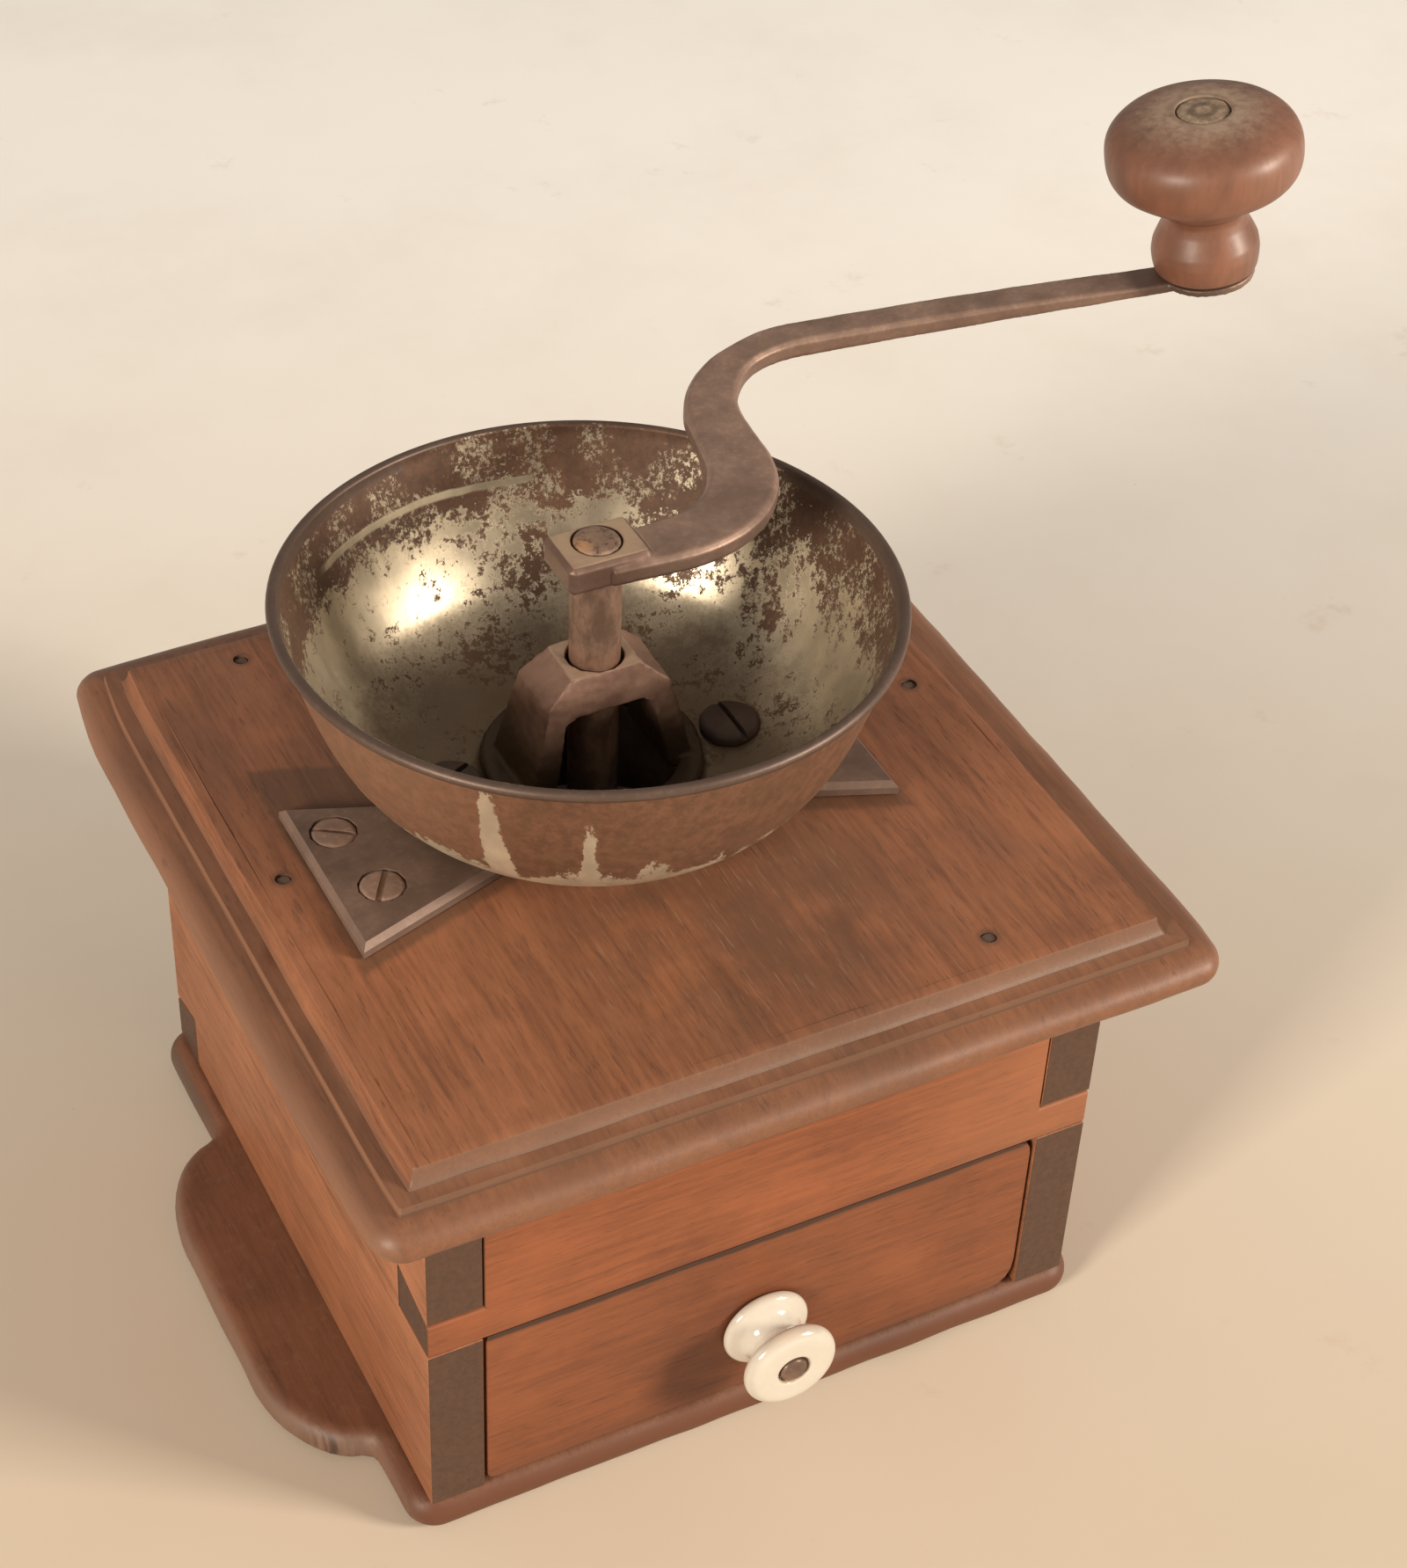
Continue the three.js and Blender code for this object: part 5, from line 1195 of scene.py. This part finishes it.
class GRINDER_OT_bridge(bpy.types.Operator):
    """Casts the arched bridge over the throat"""
    bl_idname = "grinder.bridge"
    bl_label = "Bridge"
    top_half = 6.6
    shoulder_half = 11.6
    foot_half = 16.0
    shoulder_drop = 4.6
    thick = 7.4
    inner_half = 8.4
    inner_top_half = 6.4
    inner_foot_half = 11.0
    top_width = 13.0
    top_chamfer = 1.1
    foot_width = 17.0
    ring = 19.8
    ring_hole = 15.5
    ring_thick = 2.0
    bore = 4.95
    iron_shade = (0.185, 0.100, 0.072)
    iron_pale = (0.30, 0.175, 0.128)
    dust_shade = (0.47, 0.325, 0.23)

    def execute(self, context):
        low, high = corners("bridge")
        rise = high.z - low.z
        shoulder = rise - self.shoulder_drop
        right = [(self.top_half, rise), (self.shoulder_half, shoulder), (self.foot_half, 0.0),
                 (self.inner_foot_half, 0.0), (self.inner_half, rise - self.thick - 1.2),
                 (self.inner_top_half, rise - self.thick)]
        outline = [(-x, z) for x, z in reversed(right)] + right
        arch = self.push(outline, lambda a, b, c: (a, c, b), self.foot_width)
        top, foot = self.top_width / 2, self.foot_width / 2
        side = [(-foot, -1.0), (foot, -1.0), (top, shoulder), (top - self.top_chamfer, rise),
                (self.top_chamfer - top, rise), (-top, shoulder)]
        keep = self.push(side, lambda a, b, c: (c, a, b), self.foot_half + 2)
        combine(arch, [keep], "INTERSECT")
        ring = [(self.ring_hole, 0.0), (self.ring, 0.0), (self.ring, 1.2), (self.ring - 0.8, self.ring_thick),
                (self.ring_hole, self.ring_thick)]
        combine(arch, [lathe("ring", ring, 72)], "UNION")
        combine(arch, [cylinder("bore", (0, 0, rise / 2), self.bore, rise * 2)], "DIFFERENCE")
        cast(arch, voxel=settings()[0].cast_voxel * 0.85, rounds=3)
        arch.data.transform(Matrix.Translation(Vector((SPINDLE.x, SPINDLE.y, low.z)) * MM))
        worn(arch, depth=0.35, size=6.0)
        worn(arch, depth=0.12, size=1.6, shift=3.0)
        arch.name = "bridge_casting"
        put(arch, self.finish(high.z), "case", "cast_iron", "bridge")
        return {"FINISHED"}

    @staticmethod
    def push(outline, order, half):
        """Pushes a flat outline both ways along the third axis."""
        points = [order(a, b, depth) for depth in (-half, half) for a, b in outline]
        return make_object("push", points, ring_faces(2, len(outline)))

    def finish(self, top):
        """Cast iron with a dusty top, reddish flanks, and feet darkened by grime and painted shade."""
        look = Look("bridge_iron", self.iron_shade, Specular_IOR_Level=0.5, Metallic=0.35)
        broad = look.noise(0.10, detail=5.0, roughness=0.62)
        small = look.noise(1.0, detail=5.0, roughness=0.7)
        look.lay(look.smooth(broad, 0.35, 0.62), self.iron_pale)
        height = look.at("Z") - top
        dusty = look.smooth(look.facing("Z"), 0.80, 0.97) * look.smooth(height, -12.0, -1.0)
        look.lay(dusty * (0.55 + small * 0.4), self.dust_shade)
        # Darker towards the feet: grime, and painted shade low in the bowl.
        low_down = look.fall(height + (broad - 0.5) * 6.0, -18.5, -4.5)
        look.lay(low_down * 0.95, times(settings()[1].grime_and_shade, 0.36))
        look.bump(small * 0.6 + broad * 0.6, distance=0.15, strength=0.6)
        return look.finish(Roughness=0.42 + small * 0.22)


class GRINDER_OT_spindle(bpy.types.Operator):
    """Turns the spindle with its riveted top"""
    bl_idname = "grinder.spindle"
    bl_label = "Spindle"
    radius = 4.5
    tenon = 4.15
    iron_brown = (0.150, 0.088, 0.062)
    iron_light = (0.29, 0.175, 0.125)
    bearing_rust = (0.25, 0.11, 0.06)
    head_light = (0.30, 0.20, 0.135)
    pit_shade = (0.045, 0.026, 0.018)
    rust_spot = (0.40, 0.20, 0.085)

    def execute(self, context):
        low, high = corners("spindle")
        hub_foot = corners("crank_arm")[0].z
        radius, tenon = self.radius, self.tenon
        line = [(0.0, low.z), (0.6, low.z), (3.5, low.z + 4), (radius, low.z + 5), (radius, hub_foot - 0.4),
                (radius - 0.3, hub_foot - 0.2), (tenon, hub_foot - 0.1), (tenon, high.z - 1.0),
                (tenon - 0.35, high.z - 0.45), (tenon - 1.3, high.z - 0.1), (0.0, high.z)]
        made = lathe("spindle_worn", soften(line, radius=0.3, steps=3), 64, (SPINDLE.x, SPINDLE.y, 0.0))
        worn(made, depth=0.10, size=3.0)
        put(made, self.finish(high.z), "spindle", "forged_iron", "spindle")
        return {"FINISHED"}

    def finish(self, top):
        """Brown iron with a rusty ring over its bearing and a pitted, riveted top."""
        look = Look("spindle_iron", self.iron_brown, Specular_IOR_Level=0.5)
        streaks = look.noise((0.32, 0.32, 0.16), detail=5.0, roughness=0.65)
        small = look.noise(0.9, detail=5.0, roughness=0.7)
        look.lay(look.smooth(streaks, 0.35, 0.65), self.iron_light)
        bearing = corners("bridge")[1].z
        foot = look.belt(look.at("Z"), (bearing - 1, bearing), (bearing + 0.5, bearing + 5))
        look.lay(foot * look.smooth(small, 0.35, 0.6) * 0.45, self.bearing_rust)
        pits = look.noise(0.55, (6.0, 2.0, 8.0), 6.0, 0.8)
        head = look.smooth(look.at("Z"), top - 1.6, top - 0.6)
        look.lay(head * look.smooth(pits, 0.40, 0.60) * 0.8, self.head_light)
        look.lay(head * look.fall(pits, 0.36, 0.44) * 0.8, self.pit_shade)
        spot = look.near((SPINDLE.x - 3.6, SPINDLE.y - 0.6, top), 0.6, 3.4) * look.smooth(pits, 0.42, 0.54)
        look.lay(spot * 0.8, self.rust_spot)
        look.bump(small * 0.7 + streaks * 0.4 + head * pits * 3.0, distance=0.12, strength=0.6)
        return look.finish(Metallic=0.45 - spot * 0.4, Roughness=0.38 + small * 0.25)


class GRINDER_OT_crank_arm(bpy.types.Operator):
    """Forges the S-curved crank arm with its square hub and eye"""
    bl_idname = "grinder.crank_arm"
    bl_label = "Crank arm"
    hub_size = (15.4, 11.8, 5.6)
    hub_shift = -0.6
    arm_shift = -1.8
    arm_step = 1.2
    thick = 4.0
    end_thick = 1.5
    taper = 4.0
    widths = ((0.0, 9.6), (0.07, 11.2), (0.22, 12.6), (0.34, 10.4), (0.46, 7.0), (1.0, 7.1))
    straight = 14.0
    first = (20.4, math.radians(82.5))
    link = 9.4
    second = (21.2, math.radians(95))
    sweep = (311.0, 75.75)
    rise = 12.0
    rise_power = 1.9
    eye_radius = 9.0
    eye_thick = 1.5
    eye_shift = 1.74
    pin_hole = 2.7
    tenon_hole = 4.35
    lean = math.radians(9)
    flank_shade = (0.105, 0.064, 0.048)
    eye_painted_shade = (0.085, 0.052, 0.040)
    hub_shade = (0.105, 0.056, 0.040)
    hub_dust = (0.43, 0.295, 0.200)

    def stations(self):
        """Points along the arm's middle: x, y, z, heading and share of its length."""
        bend = self.first[0] * self.first[1]
        runs = [(self.straight, 0.0, 6), (bend, self.first[1], 26), (self.link, 0.0, 5),
                (self.second[0] * self.second[1], -self.second[1], 26),
                (self.sweep[1], -self.sweep[1] / self.sweep[0], 30)]
        total = sum(run[0] for run in runs)
        flat = self.straight + bend * 0.7
        x, y, heading, travelled = SPINDLE.x, SPINDLE.y + self.hub_shift + self.arm_shift, 0.0, 0.0
        found = [(x, y, heading, travelled)]
        for run, turn, steps in runs:
            for _ in range(steps):
                x += run / steps * math.cos(heading + turn / steps / 2)
                y += run / steps * math.sin(heading + turn / steps / 2)
                heading += turn / steps
                travelled += run / steps
                found.append((x, y, heading, travelled))
        top = corners("crank_arm")[0].z + self.hub_size[2] - self.arm_step
        result = []
        for x, y, heading, travelled in found:
            climb = max(0.0, (travelled - flat) / (total - flat))
            result.append((x, y, top + self.rise * climb ** self.rise_power, heading, travelled / total))
        return result

    def width_at(self, share):
        """The arm's width at a share of its length."""
        for (before, wide), (after, next_wide) in zip(self.widths, self.widths[1:]):
            if share <= after:
                return wide + (next_wide - wide) * (share - before) / (after - before)
        return self.widths[-1][1]

    def bar(self, stations):
        """The arm itself, with a chamfered section that thins towards its end."""
        points = []
        for x, y, z, heading, share in stations:
            half = self.width_at(share) / 2
            thick = self.thick + (self.end_thick - self.thick) * share ** self.taper
            chamfer = settings()[0].arm_chamfer / MM * thick / self.thick
            foot = half - chamfer * 0.6
            section = [(-half, chamfer - thick), (-foot, -thick), (foot, -thick), (half, chamfer - thick),
                       (half, -chamfer), (half - chamfer, 0.0), (chamfer - half, 0.0), (-half, -chamfer)]
            points += [(x - across * math.sin(heading), y + across * math.cos(heading), z + up)
                       for across, up in section]
        return make_object("arm", points, ring_faces(len(stations), 8))

    def execute(self, context):
        stations = self.stations()
        arm = self.bar(stations)
        hub_low = Vector((SPINDLE.x - self.hub_size[0] / 2, SPINDLE.y + self.hub_shift - self.hub_size[1] / 2,
                          corners("crank_arm")[0].z))
        hub_high = hub_low + Vector(self.hub_size)
        hub = box("hub", hub_low, hub_high)
        bevel(hub, 0.9 * MM, steps=1)
        settle(hub)
        x, y, z, heading, _ = stations[-1]
        end = Vector((x - self.eye_shift * math.sin(heading), y + self.eye_shift * math.cos(heading), z))
        turn = (Matrix.Translation(end * MM) @ Matrix.Rotation(heading, 4, "Z")
                @ Matrix.Rotation(-self.lean, 4, "Y"))
        eye = cylinder("eye", (0, 0, -self.eye_thick / 2 - 0.1), self.eye_radius, self.eye_thick - 0.2, 56)
        eye.data.transform(turn)
        combine(arm, [hub, eye], "UNION")
        pin_hole = cylinder("hole", (0, 0, 0), self.pin_hole, 20.0, 24)
        pin_hole.data.transform(turn)
        tenon_hole = cylinder("hole", (SPINDLE.x, SPINDLE.y, hub_low.z), self.tenon_hole, 30.0, 40)
        combine(arm, [pin_hole, tenon_hole], "DIFFERENCE")
        cast(arm, voxel=settings()[0].cast_voxel * 0.62, rounds=2)
        worn(arm, depth=0.12, size=7.0)
        worn(arm, depth=0.03, size=1.4, shift=5.0)
        arm.name = "crank_arm_forged"
        knob = middle("crank_knob")

        def hub_marks(look):
            """A dusty top on the hub, dark flanks and painted shade on the eye under the knob."""
            speck = look.noise(0.8, (1.0, 2.0, 3.0), 4.0, 0.7)
            centre = (SPINDLE.x, SPINDLE.y, hub_high.z)
            up = look.smooth(look.facing("Z"), 0.75, 0.95)
            look.lay(look.fall(look.facing("Z"), 0.15, 0.60) * 0.45, self.flank_shade)
            # Painted shade on the eye round the knob's foot, where the knob shades it.
            look.lay(look.near((knob.x, knob.y, end.z), 9.5, 13.0) * 0.75, self.eye_painted_shade)
            look.lay(look.near(centre, 7.0, 12.0) * (1 - up) * 0.8, self.hub_shade)
            look.lay(look.near(centre, 6.0, 12.0) * up * (0.55 + speck * 0.8), self.hub_dust)

        finish = iron("arm_iron", pale=0.30, roughness=0.38, metallic=0.40, gain=1.75, patches=0.45,
                      extra=hub_marks)
        put(arm, finish, "spindle", "forged_iron", "crank_arm")
        return {"FINISHED"}


class GRINDER_OT_crank_knob(bpy.types.Operator):
    """Turns the crank's knob and its pin"""
    bl_idname = "grinder.crank_knob"
    bl_label = "Crank knob"
    foot = 0.3
    bore = 2.75
    base = 9.55
    bulge = 9.95
    bulge_rise = 3.9
    neck = 7.55
    neck_rise = 11.2
    head = 17.8
    head_rise = 23.9
    head_half = 8.3
    head_steps = 44
    roundness = 0.72
    plug = 4.9
    plug_shade = (0.19, 0.128, 0.088)
    plug_light = (0.38, 0.27, 0.19)
    plug_ring = (0.085, 0.055, 0.038)

    def profile(self):
        """The knob's section, and the height at which its head ends round the pin."""
        line = [(self.bore, 0.0), (self.base - 0.4, 0.0), (self.base, 0.6), (self.base + 0.28, 2.2),
                (self.bulge, self.bulge_rise), (self.bulge * 0.97, 5.8), (self.bulge * 0.89, 7.6),
                (self.neck * 1.06, 9.4), (self.neck, self.neck_rise), (self.neck * 1.06, 12.6),
                (self.neck * 1.24, 13.6)]
        line = [(radius, self.foot + height) for radius, height in line]
        for k in range(self.head_steps + 1):
            angle = math.radians(-60 + 150 * k / self.head_steps)
            rise = math.copysign(abs(math.sin(angle)) ** self.roundness, angle)
            radius = self.head * max(0.0, math.cos(angle)) ** self.roundness
            if radius < self.plug + 0.4:
                break
            line.append((radius, self.head_rise + self.head_half * rise))
        top = line[-1][1]
        line += [(self.plug + 0.25, top + 0.02), (self.plug + 0.1, top - 0.3), (self.plug + 0.08, top - 1.1),
                 (self.bore, top - 1.1)]
        return line, top

    def execute(self, context):
        joints = frame["record"]["behaviour"]["joints"]
        joint = next(joint for joint in joints if joint["name"] == "knob_turn")
        line, top = self.profile()
        knob = lathe("crank_knob_turned", soften(line + [line[0]], radius=0.35, steps=2)[:-1])
        axis = Vector(joint["axis"]).normalized()
        turn = Matrix.Translation(Vector(joint["pos_m"])) @ axis.to_track_quat("Z", "Y").to_matrix().to_4x4()
        knob.data.transform(turn)
        worn(knob, depth=0.15, size=9.0)
        put(knob, knob_finish(), "knob", "turned_wood", "crank_knob")
        dome = top - 0.12
        edge = self.plug - 0.1
        line = [(0.0, -3.2), (2.8, -3.2), (3.6, -2.2), (2.4, -2.1), (2.4, top - 0.95), (edge, top - 0.95),
                (edge, dome - 0.25), (self.plug - 0.6, dome), (2.0, dome + 0.08), (0.0, dome + 0.12)]
        pin = lathe("knob_pin_riveted", soften(line, radius=0.25, steps=2), 48)
        pin.data.transform(turn)
        worn(pin, depth=0.15, size=1.5)
        look = Look("plug_finish", self.plug_shade, Specular_IOR_Level=0.4)
        small = look.noise(0.6, detail=5.0, roughness=0.7)
        look.lay(look.smooth(small, 0.35, 0.7), self.plug_light)
        heart = turn @ Vector((0.0, 0.0, dome * MM)) / MM
        look.lay((look.near(heart, 2.3, 3.2) - look.near(heart, 1.1, 1.9)) * 0.6, self.plug_ring)
        look.bump(small, distance=0.15, strength=0.6)
        put(pin, look.finish(Roughness=0.5 + small * 0.2), "spindle", "forged_iron", "knob_pin")
        return {"FINISHED"}


class GRINDER_OT_works(bpy.types.Operator):
    """Finishes the burrs, the toe bar and the nails"""
    bl_idname = "grinder.works"
    bl_label = "Mill works and nails"
    nail_steps = 20
    nail_limit = 1.32

    def execute(self, context):
        edge = settings()[0].iron_edge
        burr = iron("burr_iron", rusty=0.15, pale=0.15, roughness=0.55, metallic=0.35)
        dress(["outer_burr"], burr, edge)
        dress(["inner_burr"], burr)
        forged = iron("works_iron", rusty=0.25, pale=0.4)
        dress(["toe_bar", "adjusting_nut"], forged, edge)
        dress(["nut_stud", "headed_stud", "burr_pin", *numbered("base_nail", 6)], forged)
        finish = iron("lid_nail_iron", pale=0.4, roughness=0.6, metallic=0.2, gain=0.85, patches=0.7)
        for number, node in enumerate(numbered("lid_nail", 4), 1):
            self.nail(node, finish, number)
        return {"FINISHED"}

    def nail(self, node, finish, number):
        """A cut nail with an uneven hammered head."""
        low, high = corners(node)
        centre = middle(node)
        rows = ((low.z, 0.5), (high.z - 1.2, 0.9), (high.z - 0.9, 1.5), (high.z - 0.25, 1.7),
                (high.z - 0.05, 1.45))
        points = []
        for height, size in rows:
            for angle in circle(self.nail_steps):
                x, y = math.cos(angle), math.sin(angle)
                square = 1 / max(abs(x), abs(y) * 1.25) ** 0.6
                rough = 1 + 0.12 * noise.noise(Vector((x, y, number * 3.1)))
                radius = min(size * square * rough * 0.78, self.nail_limit)
                points.append((centre.x + radius * x, centre.y + radius * y, height))
        made = make_object(f"{node}_head", points, ring_faces(len(rows), self.nail_steps))
        crisp(made, degrees=45)
        put(made, finish, "case", "forged_iron", node)


class GRINDER_PT_panel(bpy.types.Panel):
    """Lists the pieces of the grinder in the sidebar"""
    bl_idname = "GRINDER_PT_panel"
    bl_label = "Box Coffee Grinder"
    bl_space_type = "VIEW_3D"
    bl_region_type = "UI"
    bl_category = "Grinder"

    def draw(self, context):
        for operator in OPERATORS:
            self.layout.operator(operator.bl_idname)
        for group in settings():
            column = self.layout.column()
            for name in group.__annotations__:
                column.prop(group, name)


GROUPS = (GrinderSizes, GrinderColours, GrinderStage)
OPERATORS = (
    GRINDER_OT_stage, GRINDER_OT_base, GRINDER_OT_case, GRINDER_OT_lid, GRINDER_OT_drawer,
    GRINDER_OT_drawer_knob, GRINDER_OT_plate, GRINDER_OT_bowl, GRINDER_OT_bridge, GRINDER_OT_spindle,
    GRINDER_OT_crank_arm, GRINDER_OT_crank_knob, GRINDER_OT_works,
)


def register():
    """Registers the groups, the operators and the panel."""
    for cls in (*GROUPS, *OPERATORS, GRINDER_PT_panel):
        bpy.utils.register_class(cls)
    bpy.types.Scene.grinder_sizes = bpy.props.PointerProperty(type=GrinderSizes)
    bpy.types.Scene.grinder_colours = bpy.props.PointerProperty(type=GrinderColours)
    bpy.types.Scene.grinder_stage = bpy.props.PointerProperty(type=GrinderStage)


def unregister():
    """Removes what register added."""
    for name in ("grinder_stage", "grinder_colours", "grinder_sizes"):
        delattr(bpy.types.Scene, name)
    for cls in (GRINDER_PT_panel, *reversed(OPERATORS), *reversed(GROUPS)):
        bpy.utils.unregister_class(cls)


def main():
    """Builds every piece in order."""
    register()
    for operator in OPERATORS:
        group, name = operator.bl_idname.split(".")
        getattr(getattr(bpy.ops, group), name)()
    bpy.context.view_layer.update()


if __name__ == "__main__":
    main()
